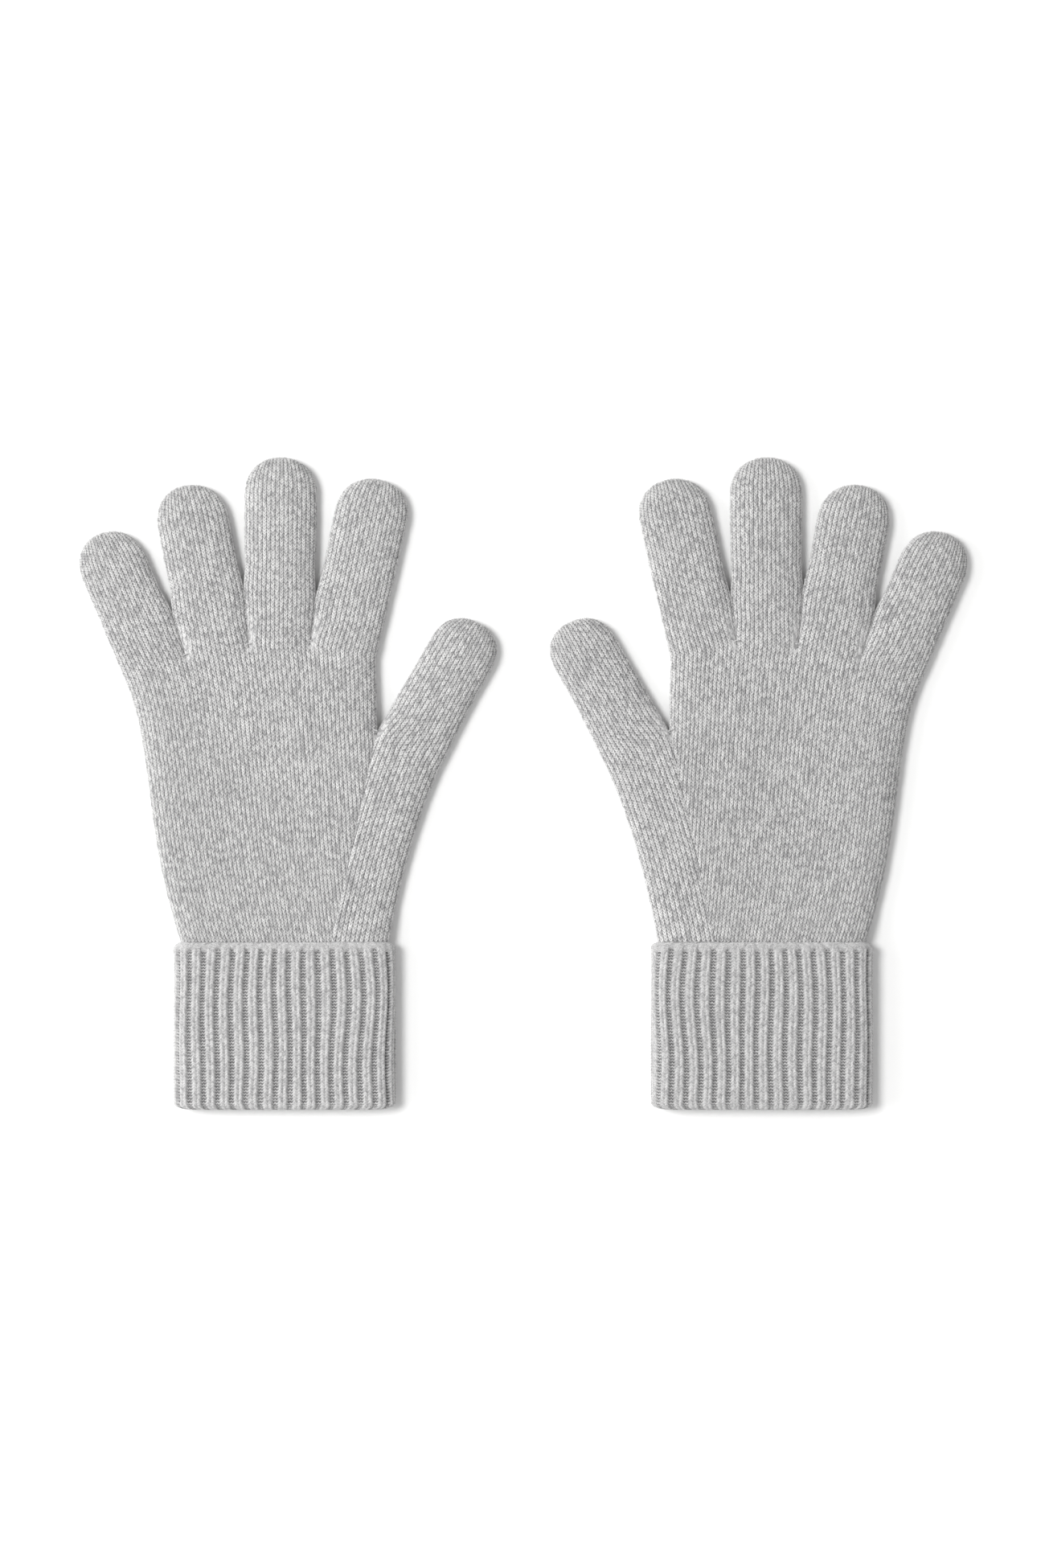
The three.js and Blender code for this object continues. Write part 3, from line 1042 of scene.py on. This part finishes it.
@dataclass
class RibCuff:
    """The ribbed cuff: its inner half, its turned-up half and the linked edge."""

    repeats: int = 34
    columns_per_repeat: int = 12
    course: float = 1.15
    rib_height: float = 1.4
    purl_from: float = 0.64
    crest_round: float = 0.26
    crest_loops: float = 0.09
    trough_depth: float = 0.95
    trough_loops: float = 0.22
    crown_drop: float = 0.55
    floor_gap: float = 0.03
    fold_rows: int = 8
    hidden_rows: int = 24
    top_rise: float = 0.1
    under_edge: float = 1.4
    edge_share: float = 0.82
    edge_rows: int = 24
    edge_depth: float = 1.15
    edge_reach: float = 1.05
    edge_taper: float = 0.25
    edge_girth: float = 9.0
    edge_lumps: float = 0.26
    edge_fuzz: float = 0.17
    edge_sunk: float = 0.1
    hang_on_ribs: float = 0.6
    hang_uneven: float = 0.75
    seam_run: float = 4.0
    wall: float = 2.0
    clearance: float = 0.3
    fold_radius: float = 2.15
    shorter: float = 2.2
    shift: float = 0.6
    top_corner: float = 3.0
    bottom_corner: float = 2.6
    slide: float = 0.0046
    sway: Wander = field(default_factory=lambda: Wander(12, 34, 110, 9))
    lumps: Wander = field(default_factory=lambda: Wander(23, 1.3, 6.0, 24))
    fuzz: Wander = field(default_factory=lambda: Wander(31, 0.7, 1.9, 30))

    def __post_init__(self) -> None:
        """Takes the cuff's outside from the frame."""
        low, high = box_corners("left_cuff_turn_up")
        edge_low, edge_high = box_corners("left_cuff_edge")
        self.centre = float(low[0] + high[0]) / 2 + self.shift
        self.half_width = float(high[0] - low[0]) / 2
        self.half_height = float(high[2] - low[2]) / 2
        self.bottom = float(low[1]) + self.shorter
        self.top = float(edge_high[1])
        self.edge_band = float(edge_high[1] - edge_low[1])
        self.flat = self.half_width - self.half_height
        self.columns = self.repeats * self.columns_per_repeat
        straight, arc = 2 * self.flat, math.pi * self.half_height
        self.girth = 2 * (straight + arc)
        self.marks = np.cumsum([0, straight / 2, arc, straight, arc, straight / 2]) / self.girth

    def narrowing(self, y: Array) -> Array:
        """Returns how far the rounded corners draw the cuff's sides in at each y."""
        above = np.clip((y - self.top) / self.top_corner + 1, 0, 1)
        below = np.clip((self.bottom - y) / self.bottom_corner + 1, 0, 1)
        return (
            self.top_corner * (1 - np.sqrt(1 - above**2))
            + self.bottom_corner * (1 - np.sqrt(1 - below**2))
        )

    def around(self, share: Array, depth: Array, y: Array) -> tuple[Array, Array]:
        """Goes round the flattened tube, from the middle of its underside.

        Args:
            share: Share of the way round.
            depth: How far in from the outside.
            y: Along the glove.

        Returns:
            x from the cuff's middle and z from its mid height, in millimetres.
        """
        share = share % 1
        radius = self.half_height - depth
        marks = self.marks
        turn = np.interp(share, marks, [0, 0, math.pi, math.pi, 2 * math.pi, 2 * math.pi])
        side = np.interp(share, marks, [0, 1, 1, -1, -1, 0])
        x = side * (self.flat - self.narrowing(y)) + radius * np.sin(turn)
        z = -radius * np.cos(turn)
        upper = np.clip(-np.cos(turn), 0, 1)
        crown = self.crown_drop * upper * (np.abs(x) / self.half_width) ** 2
        return x, np.maximum(z - crown, self.floor_gap - self.half_height)

    def rib(self, phase: Array, course: Array) -> Array:
        """Says how deep the rib lies below its crests.

        Args:
            phase: Place within a repeat, 0 to 1: two knit wales, then two purl wales.
            course: Course coordinate.

        Returns:
            0 on a crest down to -1 in a trough.
        """
        knit = phase / self.purl_from
        begins = smoothstep((phase - self.purl_from + 0.05) / 0.1)
        ends = smoothstep((1.03 - phase) / 0.08)
        wale = 2 * np.abs((2 * knit) % 1 - 0.5)
        loops = self.crest_loops * np.cos(2 * math.pi * (course - 0.7 * wale))
        crest = -self.crest_round * wale**2.2 + loops
        purl = (phase - self.purl_from) / (1 - self.purl_from)
        bow = np.abs((2 * purl) % 1 - 0.5) * 2
        loops = self.trough_loops * np.cos(2 * math.pi * (course + 0.45 * bow))
        trough = -self.trough_depth + loops - 0.08 * bow
        return mix(crest - 0.08, trough, begins * ends)

    def ring(self, name: str, path: Meridian, shape: Callable | None = None) -> bpy.types.Mesh:
        """Sweeps a meridian round the cuff and closes it on itself both ways.

        Args:
            name: The mesh's name.
            path: The meridian.
            shape: Gives the relief from the share round, the row and the place, if it isn't rib.

        Returns:
            The mesh, in metres.
        """
        rows = len(path.y)
        made, column, row = grid_mesh(name, self.columns, rows)
        row = row.astype(int)
        wrapped = row % rows
        steps = np.hypot(np.diff([*path.y, path.y[0]]), np.diff([*path.depth, path.depth[0]]))
        course = np.concatenate([[0], np.cumsum(steps)])[row] / self.course
        y0, depth0 = np.array(path.y)[wrapped], np.array(path.depth)[wrapped]
        normal_y = np.array(path.normal_y)[wrapped]
        normal_depth = np.array(path.normal_depth)[wrapped]
        weight = np.array(path.rib)[wrapped]
        around = (column % self.columns) / self.columns
        slide = self.slide * self.sway(around * self.girth, y0) * np.clip(weight, 0, 1)
        phase = (around * self.repeats + REPEAT_START) % 1
        if shape is None:
            relief = self.rib(phase, course) * self.rib_height * weight
        else:
            relief = shape(around, wrapped / rows)
        depth = depth0 + normal_depth * relief
        y = y0 + normal_y * relief
        x, z = self.around(around + slide, depth, y)
        place = np.stack([self.centre + x, y, self.half_height + z], axis=1) * MM
        made.vertices.foreach_set("co", place.ravel())
        store_knit(made, column / self.columns_per_repeat + REPEAT_START, course)
        closed = bmesh.new()
        closed.from_mesh(made)
        bmesh.ops.remove_doubles(closed, verts=closed.verts, dist=WELD)
        bmesh.ops.recalc_face_normals(closed, faces=closed.faces)
        closed.to_mesh(made)
        closed.free()
        return made

    def turned_up(self) -> bpy.types.Mesh:
        """Returns the turned-up half: its ribbed outside, the fold and its hidden inside."""
        path = Meridian()
        top, turn = self.top - self.under_edge, self.bottom + self.fold_radius
        rows = round((top - turn) / self.course * CELLS_PER_COURSE)
        path.run((top, 0), (turn, 0), rows, -1, 1)
        path.fold((turn, self.fold_radius), self.fold_radius, self.fold_rows, -1, 0.5, last=0.5)
        path.run((self.bottom + 0.05, self.wall), (top, self.wall), self.hidden_rows, 1, 0)
        path.rib[0] = 0.6
        return self.ring("cuff_turn_up", path)

    def inner(self) -> bpy.types.Mesh:
        """Returns the inner half, ribbed on both faces, its end curved to finish the fold."""
        path = Meridian()
        outside = self.wall + self.clearance
        inside = outside + self.wall
        turn, top = self.bottom + self.fold_radius, self.top + self.top_rise
        rows = round((top - turn) / self.course * 2)
        path.run((top, outside), (turn, outside), rows, -1, 0.75)
        path.run((turn, outside), (self.bottom, self.fold_radius), 3, -1, 0)
        path.fold((turn, self.fold_radius), self.fold_radius, self.fold_rows, -1, 0.3, first=0.5)
        path.run((turn, inside), (top, inside), rows // 2, 1, 0.5)
        path.fold((top, (outside + inside) / 2), self.wall / 2, 4, 1, 0)
        for step in range(4):
            path.depth[-1 - step] = outside + self.wall * (step + 1) / 5
        return self.ring("cuff_inner", path)

    def edge(self) -> bpy.types.Mesh:
        """Returns the linked edge: a soft uneven bead of loops along the cuff's top."""
        path = Meridian()
        half = self.edge_band * self.edge_share
        for step in range(self.edge_rows):
            angle = 2 * math.pi * step / self.edge_rows
            along, inward = math.cos(angle), -math.sin(angle)
            y = self.top + self.top_rise - half + half * along
            reach = self.edge_reach * (1.0 + self.edge_taper * along)
            path.add(y, self.edge_depth + reach * inward, along, inward, 0)

        def loops(around: Array, row: Array) -> Array:
            walked = around * self.girth
            section = row * self.edge_girth
            seam = 1 - smoothstep(np.minimum(around, 1 - around) * self.girth / self.seam_run)
            lumps = self.edge_lumps * self.lumps(walked, section)
            uneven = lumps + self.edge_fuzz * self.fuzz(walked, section)
            hang = self.hang_on_ribs * np.cos(2 * math.pi * (around * self.repeats - 0.1))
            hang = hang + self.hang_uneven * self.lumps(walked * 0.6, 40.0)
            below = np.clip(-np.cos(2 * math.pi * row), 0, 1)
            return uneven * (1 - seam) + hang * below - self.edge_sunk

        return self.ring("cuff_edge", path, loops)


@dataclass
class ForkGraft:
    """The linking stitches that close the corner between two stalls."""

    stitch_length: float = 1.5
    stitch_width: float = 0.62
    arc_radius: float = 3.1
    arc_degrees: float = 150.0
    leg_tilt_degrees: float = 24.0
    leg_apart: float = 0.42
    flatten: float = 0.45
    above_middle: float = 0.9
    stitches: int = 5

    def mesh(self, name: str, node: str, lean: float) -> bpy.types.Mesh:
        """Builds the stitches round the corner, from the back to the palm.

        Args:
            name: The mesh's name.
            node: The CAD node that says where they are.
            lean: The angle from +Y of the line between the two stalls.

        Returns:
            The mesh, in metres.
        """
        low, high = box_corners(node)
        middle = (low + high) / 2
        knot = bmesh.new()
        for step in range(self.stitches):
            share = step / (self.stitches - 1) - 0.5
            angle = share * math.radians(self.arc_degrees) + math.pi / 2
            for way in (-1, 1):
                loop = bmesh.ops.create_uvsphere(knot, u_segments=10, v_segments=7, radius=1)
                points = loop["verts"]
                size = Vector((self.stitch_width, self.stitch_length * 0.5, self.stitch_width))
                bmesh.ops.scale(knot, verts=points, vec=size)
                tilt = math.radians(self.leg_tilt_degrees) * way
                bmesh.ops.rotate(knot, verts=points, matrix=Matrix.Rotation(tilt, 3, "Z"))
                bmesh.ops.translate(
                    knot, verts=points, vec=(self.leg_apart * way, 0, self.arc_radius))
                bmesh.ops.rotate(knot, verts=points, matrix=Matrix.Rotation(angle, 3, "X"))
        bmesh.ops.scale(knot, verts=knot.verts, vec=(1, self.flatten, 1))
        bmesh.ops.rotate(knot, verts=knot.verts, matrix=Matrix.Rotation(-lean, 3, "Z"))
        place = Vector(middle) + Vector((0, self.above_middle, 0))
        bmesh.ops.translate(knot, verts=knot.verts, vec=place)
        bmesh.ops.scale(knot, verts=knot.verts, vec=(MM, MM, MM))
        made = bpy.data.meshes.new(name)
        knot.to_mesh(made)
        knot.free()
        return made


class Shade:
    """A value on its way between shader nodes; arithmetic on it adds Math nodes."""

    def __init__(self, graph: "Graph", socket: bpy.types.NodeSocket) -> None:
        """Wraps a socket of a graph."""
        self.graph = graph
        self.socket = socket

    def _math(self, operation: str, *inputs: "Shade | float") -> "Shade":
        """Returns the result of a Math node on some inputs."""
        sockets = {index: value for index, value in enumerate(inputs)}
        made = self.graph.node("ShaderNodeMath", {"operation": operation}, sockets)
        return Shade(self.graph, made.outputs[0])

    def __add__(self, other: "Shade | float") -> "Shade":
        """Returns the sum."""
        return self._math("ADD", self, other)

    def __radd__(self, other: float) -> "Shade":
        """Returns the sum."""
        return self._math("ADD", other, self)

    def __sub__(self, other: "Shade | float") -> "Shade":
        """Returns the difference."""
        return self._math("SUBTRACT", self, other)

    def __rsub__(self, other: float) -> "Shade":
        """Returns the difference, the other way round."""
        return self._math("SUBTRACT", other, self)

    def __mul__(self, other: "Shade | float") -> "Shade":
        """Returns the product."""
        return self._math("MULTIPLY", self, other)

    def __rmul__(self, other: float) -> "Shade":
        """Returns the product."""
        return self._math("MULTIPLY", other, self)

    def __truediv__(self, other: "Shade | float") -> "Shade":
        """Returns the quotient."""
        return self._math("DIVIDE", self, other)

    def __pow__(self, other: float) -> "Shade":
        """Returns the power."""
        return self._math("POWER", self, other)

    def __abs__(self) -> "Shade":
        """Returns the size without the sign."""
        return self._math("ABSOLUTE", self)

    def fract(self) -> "Shade":
        """Returns what is left above the whole number."""
        return self._math("FRACT", self)

    def floor(self) -> "Shade":
        """Returns the whole number below."""
        return self._math("FLOOR", self)

    def sine(self) -> "Shade":
        """Returns the sine."""
        return self._math("SINE", self)

    def cosine(self) -> "Shade":
        """Returns the cosine."""
        return self._math("COSINE", self)

    def ramp(self, low: float, high: float) -> "Shade":
        """Returns the smooth ramp from 0 at one value to 1 at another."""
        made = self.graph.node(
            "ShaderNodeMapRange", {"interpolation_type": "SMOOTHSTEP"},
            {"Value": self, "From Min": low, "From Max": high},
        )
        return Shade(self.graph, made.outputs["Result"])


class Graph:
    """A material's node tree."""

    def __init__(self, name: str) -> None:
        """Starts an empty material."""
        self.material = bpy.data.materials.new(name)
        self.material.use_nodes = True
        self.tree = self.material.node_tree
        self.tree.nodes.clear()

    def node(self, kind: str, settings: dict, sockets: dict) -> bpy.types.Node:
        """Adds a node.

        Args:
            kind: The node's type.
            settings: Its own settings by name, which are set first.
            sockets: Values or links by input name or number.

        Returns:
            The node.
        """
        made = self.tree.nodes.new(kind)
        for name, value in settings.items():
            setattr(made, name, value)
        for name, value in sockets.items():
            socket = made.inputs[name]
            if isinstance(value, Shade):
                self.tree.links.new(value.socket, socket)
            elif isinstance(value, bpy.types.NodeSocket):
                self.tree.links.new(value, socket)
            else:
                socket.default_value = value
        return made

    def vector(self, x: Shade | float, y: Shade | float, z: Shade | float = 0.0) -> Shade:
        """Returns a vector of three values."""
        made = self.node("ShaderNodeCombineXYZ", {}, {0: x, 1: y, 2: z})
        return Shade(self, made.outputs[0])

    def scaled(self, where: Shade, factor: float) -> Shade:
        """Returns a place, scaled."""
        made = self.node("ShaderNodeVectorMath", {"operation": "SCALE"}, {0: where, "Scale": factor})
        return Shade(self, made.outputs[0])

    def stretched(self, where: Shade, factors: tuple[float, float, float]) -> Shade:
        """Returns a place, scaled by its own factor each way."""
        made = self.node("ShaderNodeVectorMath", {"operation": "MULTIPLY"}, {0: where, 1: factors})
        return Shade(self, made.outputs[0])

    def noise(self, where: Shade, scale: float, detail: float, rough: float) -> Shade:
        """Returns a noise about 0.5 at each place."""
        made = self.node("ShaderNodeTexNoise", {}, {
            "Vector": where, "Scale": scale, "Detail": detail, "Roughness": rough,
        })
        return Shade(self, made.outputs["Fac"])

    def scatter(self, where: Shade) -> Shade:
        """Returns a random value, 0 to 1, for each place."""
        made = self.node("ShaderNodeTexWhiteNoise", {"noise_dimensions": "3D"}, {"Vector": where})
        return Shade(self, made.outputs["Value"])

    def blend(self, low: "Shade | tuple", high: "Shade | tuple", share: Shade) -> Shade:
        """Returns a colour between two."""
        made = self.node("ShaderNodeMix", {"data_type": "RGBA"}, {"Factor": share, 6: low, 7: high})
        return Shade(self, made.outputs[2])


@dataclass(frozen=True)
class YarnFinish:
    """How one kind of knitting looks: heathered wool, its tones, fuzz and depth, and painted shade
    between its loops.
    """

    name: str
    stitch: Stitch
    dark: Colour
    light: Colour
    # The next two fields set the painted shade between the loops: how strongly it darkens, and the
    # loop height above which there is none.
    painted_crevice_shade: float
    painted_shade_top: float
    streaks: float
    stitch_tone: float
    fibre_tone: float
    depth: float
    fuzz_depth: float
    ragged: float
    jitter: float
    sheen: float

    def _stitch(self, graph: Graph, wale: Shade, course: Shade) -> tuple[Shade, Shade]:
        """Draws the knitted loops.

        Args:
            graph: The material's graph.
            wale: Wale coordinate, or repeat of the rib.
            course: Course coordinate.

        Returns:
            The loops' height from 0 to 1, and a place that is one value over each loop.
        """
        if self.stitch is Stitch.RIB:
            phase = wale.fract()
            in_purl = (phase - 0.6).ramp(0.0, 0.09) * (1 - (phase - 0.94).ramp(0.0, 0.06))
            apart = abs((phase * 3.125).fract() - 0.5) * 2
            slant = course - apart * 0.7
            leg = 1 - apart**2.2
            knit = 0.28 + leg * (0.4 + 0.3 * (slant * math.tau).cosine())
            bow = abs(((phase - 0.64) * 5.556).fract() - 0.5) * 2
            arch = course + bow * 0.45
            purl = 0.27 + 0.3 * (arch * math.tau).cosine()
            height = knit * (1 - in_purl) + purl * in_purl
            return height, graph.vector((wale * 6.25).floor(), slant.floor())
        apart = abs(wale.fract() - 0.5) * 2
        slant = course - apart * 0.9
        leg = (apart * math.pi).sine() * 0.5 + (apart * (math.pi / 2)).cosine() * 0.6
        height = leg * (0.66 + 0.34 * (slant * math.tau).cosine())
        return height, graph.vector((wale * 2).floor(), slant.floor())

    def build(self) -> bpy.types.Material:
        """Returns the material."""
        graph = Graph(self.name)
        knit = graph.node("ShaderNodeUVMap", {"uv_map": UV_NAME}, {})
        parts = graph.node("ShaderNodeSeparateXYZ", {}, {0: knit.outputs[0]})
        wale, course = Shade(graph, parts.outputs[0]), Shade(graph, parts.outputs[1])
        wide = 5.4 if self.stitch is Stitch.RIB else 1.6
        spot = graph.vector(wale * wide, course * 1.15)
        if self.stitch is Stitch.LINKING:
            place = graph.node("ShaderNodeTexCoord", {}, {}).outputs["Object"]
            spot = graph.scaled(Shade(graph, place), 1 / MM)
        felt = Shade(graph, graph.node(
            "ShaderNodeAttribute", {"attribute_name": FELT}, {}).outputs["Fac"])
        nudge = graph.noise(spot, 0.9, 2.0, 0.5) - 0.5
        height, loop = self._stitch(
            graph, wale + nudge * self.jitter / wide,
            course + (0.5 - graph.noise(spot, 0.7, 2.0, 0.5)) * self.jitter)
        streak = graph.noise(graph.stretched(spot, (0.42, 0.6, 1.0)), 1.0, 3.0, 0.6)
        cloud = graph.noise(spot, 0.09, 2.0, 0.5)
        fibre = graph.noise(spot, 2.6, 3.0, 0.7)
        strand = graph.noise(graph.stretched(spot, (0.8, 2.6, 1.0)), 1.7, 2.0, 0.6)
        tone = (
            (streak - 0.5) * self.streaks
            + (cloud - 0.5) * 0.5 * self.streaks
            + (graph.scatter(loop) - 0.5) * self.stitch_tone
            + (fibre - 0.5) * self.fibre_tone
            + (strand - 0.5) * self.fibre_tone
            + felt * 0.14
            - felt * felt * 0.24
            + 0.56
        )
        yarn = graph.blend((*self.dark, 1.0), (*self.light, 1.0), tone.ramp(0.0, 1.0))
        # Painted shade: the yarn colour is blended towards a deep grey between the loops, where
        # their height is low. It is patchy with the fibre noise and weaker where the knitting is
        # felted.
        uneven = (streak + fibre * 2 - 1.5) * self.ragged + 1
        shade = (1 - height.ramp(-0.05, self.painted_shade_top)) * self.painted_crevice_shade * uneven
        shade = shade * (1 - felt * 0.7)
        painted_shade_colour = tuple(c * 0.4 for c in self.dark)
        colour = graph.blend(yarn, (*painted_shade_colour, 1.0), shade)
        relief = (
            height * self.depth * (1 - felt * 0.6)
            + (fibre - 0.5) * self.fuzz_depth
            + (strand - 0.5) * self.fuzz_depth
        )
        bump = graph.node("ShaderNodeBump", {}, {
            "Strength": 0.75, "Distance": MM, "Height": relief,
        })
        rough = 0.9 + (fibre - 0.5) * 0.14
        surface = graph.node("ShaderNodeBsdfPrincipled", {}, {
            "Base Color": colour, "Roughness": rough, "Normal": bump.outputs[0],
            "Sheen Weight": self.sheen, "Sheen Roughness": 0.55, "Specular IOR Level": 0.18,
        })
        graph.node("ShaderNodeOutputMaterial", {}, {"Surface": surface.outputs[0]})
        return graph.material


PLAIN_FINISH = YarnFinish(
    "heathered_plain_knit", Stitch.PLAIN, dark=(0.31, 0.307, 0.312), light=(0.84, 0.834, 0.828),
    painted_crevice_shade=0.93, painted_shade_top=0.7, streaks=0.36, stitch_tone=0.62, fibre_tone=0.85, depth=0.2,
    fuzz_depth=0.22, ragged=1.3, jitter=0.52, sheen=0.5,
)
# The rib is knitted from the plain knit's yarn. Its tones are set darker as painted shade, making up
# for the smaller painted crevice shade between its loops.
RIB_FINISH = YarnFinish(
    "heathered_rib_knit", Stitch.RIB, dark=(0.262, 0.259, 0.264), light=(0.748, 0.743, 0.738),
    painted_crevice_shade=0.88, painted_shade_top=0.62, streaks=0.14, stitch_tone=0.36, fibre_tone=0.9, depth=0.2,
    fuzz_depth=0.22, ragged=1.3, jitter=0.5, sheen=0.5,
)
LINKING_FINISH = YarnFinish(
    "linking_yarn", Stitch.LINKING, dark=(0.27, 0.267, 0.272), light=(0.74, 0.735, 0.73),
    painted_crevice_shade=0.0, painted_shade_top=0.6, streaks=0.3, stitch_tone=0.0, fibre_tone=1.3, depth=0.0,
    fuzz_depth=0.45, ragged=0.0, jitter=0.0, sheen=0.5,
)


@dataclass
class Glove:
    """One glove, assembled on its bodies."""

    side: Side
    work: Yarnwork
    wrist_bend: tuple[float, float] = (6.2, 7.4)
    bend_half: float = 6.0
    stretch_from: float = -95.0
    stretch_reach: float = 250.0

    def dress_shell(self, regions: dict[str, bpy.types.Mesh]) -> None:
        """Makes the shell's pieces, lets the hand's pieces ride on the hand and bakes the others in
        place at their hinges.

        Args:
            regions: The left glove's meshes by region.
        """
        work, side = self.work, self.side
        plain = Stitch.PLAIN
        back = work.piece("hand_back", side, regions["hand_back"], plain, ("hand",))
        palm = work.piece("hand_palm", side, regions["hand_palm"], plain, ())
        gusset = work.piece("thumb_gusset_knit", side, regions["thumb_gusset"], plain,
                            ("thumb_gusset",))
        for part in (back, palm, gusset):
            work.ride(part, side, "hand")
        wrist = work.piece("wrist_knit", side, regions["wrist"], plain, ("wrist",))
        work.bend(wrist, side, "wrist_bend", self.wrist_bend)
        for name in STALLS:
            thumb = name == "thumb"
            kind = "thumb" if thumb else f"{name}_finger"
            root = "thumb_root" if thumb else f"{name}_knuckle"
            stall = "thumb_stall" if thumb else kind
            lower = work.piece(stall, side, regions[kind], plain, (root, f"{name}_lower"))
            work.bend(lower, side, f"{root}_bend", (self.bend_half, self.bend_half))
            tip = work.piece(f"{stall}_tip", side, regions[f"{kind}_tip"], plain,
                             (f"{name}_bend", f"{name}_tip"))
            work.bend(tip, side, f"{name}_mid_bend", (self.bend_half, self.bend_half))

    def dress_cuff(self, inner: bpy.types.Mesh, turned: bpy.types.Mesh,
                   edge: bpy.types.Mesh) -> None:
        """Makes the cuff's pieces, lets the turned-up half and its edge ride on the turn-up and
        bakes the inner half in place.
            turned: Its turned-up half.
            edge: Its linked edge.
        """
        work, side = self.work, self.side
        sleeve = work.piece("cuff_inner_half", side, inner, Stitch.RIB, ("cuff_inner",))
        work.stretch(sleeve, side, "cuff_turn_down", self.stretch_from, self.stretch_reach)
        band = work.piece("cuff_turned_up_half", side, turned, Stitch.RIB, ("cuff_turn_up",))
        work.ride(band, side, "turn_up")
        bead = work.piece("cuff_linked_edge", side, edge, Stitch.LINKING, ("cuff_edge",))
        work.ride(bead, side, "turn_up")

    def dress_grafts(self, grafts: dict[str, bpy.types.Mesh]) -> None:
        """Makes the linking stitches at the forks.

        Args:
            grafts: The left glove's meshes by the name of their CAD node.
        """
        for node, mesh in grafts.items():
            knot = self.work.piece(f"{node}_stitches", self.side, mesh, Stitch.LINKING, (node,))
            self.work.ride(knot, self.side, "hand")


@dataclass
class Studio:
    """The floor, the light and the camera."""

    lens: float = 100.0
    sensor: float = 36.0
    camera_height: float = 1.66
    camera_centre: tuple[float, float] = (-0.0003, 0.0005)
    key_from: tuple[float, float, float] = (-1.08, 0.32, 2.45)
    key_size: float = 1.0
    key_power: float = 43.5
    fill_from: tuple[float, float, float] = (-1.9, 0.2, 0.95)
    fill_size: float = 1.7
    fill_power: float = 24.0
    sky: float = 0.5

    def floor(self) -> None:
        """Lays the plain pale floor."""
        made = bpy.data.meshes.new("floor")
        ground = bmesh.new()
        bmesh.ops.create_grid(ground, x_segments=1, y_segments=1, size=3.0)
        ground.to_mesh(made)
        ground.free()
        graph = Graph("pale_floor")
        surface = graph.node("ShaderNodeBsdfPrincipled", {}, {
            "Base Color": (0.99, 0.99, 0.985, 1.0), "Roughness": 0.95, "Specular IOR Level": 0.0,
        })
        graph.node("ShaderNodeOutputMaterial", {}, {"Surface": surface.outputs[0]})
        made.materials.append(graph.material)
        placed("floor", made)

    def light(self) -> None:
        """Hangs a soft key light at the upper left, a low one at the left and a pale surround."""
        lamps = (
            ("key", self.key_from, self.key_size, self.key_power),
            ("fill", self.fill_from, self.fill_size, self.fill_power),
        )
        for name, place, size, power in lamps:
            data = bpy.data.lights.new(name, "AREA")
            data.shape, data.size, data.energy = "DISK", size, power
            lamp = placed(name, data)
            lamp.location = place
            lamp.rotation_mode = "QUATERNION"
            lamp.rotation_quaternion = (-Vector(place)).to_track_quat("-Z", "Y")
        world = bpy.data.worlds.new("surround")
        bpy.context.scene.world = world
        world.use_nodes = True
        background = world.node_tree.nodes["Background"]
        background.inputs["Color"].default_value = (1.0, 1.0, 1.0, 1.0)
        background.inputs["Strength"].default_value = self.sky

    def camera(self) -> None:
        """Sets the camera straight above the pair."""
        data = bpy.data.cameras.new("camera")
        data.lens, data.sensor_width = self.lens, self.sensor
        data.sensor_fit = "AUTO"
        data.clip_start, data.clip_end = 0.05, 20.0
        made = placed("camera", data)
        made.location = (*self.camera_centre, self.camera_height)
        bpy.context.scene.camera = made
        bpy.context.scene.view_settings.view_transform = "Standard"


def main() -> None:
    """Builds the pair of gloves and the studio around it."""
    logging.basicConfig(level=logging.INFO, format="%(name)s: %(message)s")
    studio = Studio()
    studio.camera()
    studio.light()
    studio.floor()
    work = Yarnwork({
        finish.stitch: finish.build() for finish in (PLAIN_FINISH, RIB_FINISH, LINKING_FINISH)
    })
    shell = GloveShell()
    regions = shell.parted()
    cuff = RibCuff()
    rings = (cuff.inner(), cuff.turned_up(), cuff.edge())
    graft = ForkGraft()
    leans = {"little_ring_fork": -0.3, "ring_middle_fork": -0.1, "middle_index_fork": 0.11,
             "thumb_crotch": 0.37}
    grafts = {node: graft.mesh(node, f"left_{node}", lean) for node, lean in leans.items()}
    for side in Side:
        glove = Glove(side, work)
        glove.dress_shell(regions)
        glove.dress_cuff(*rings)
        glove.dress_grafts(grafts)


if __name__ == "__main__":
    main()
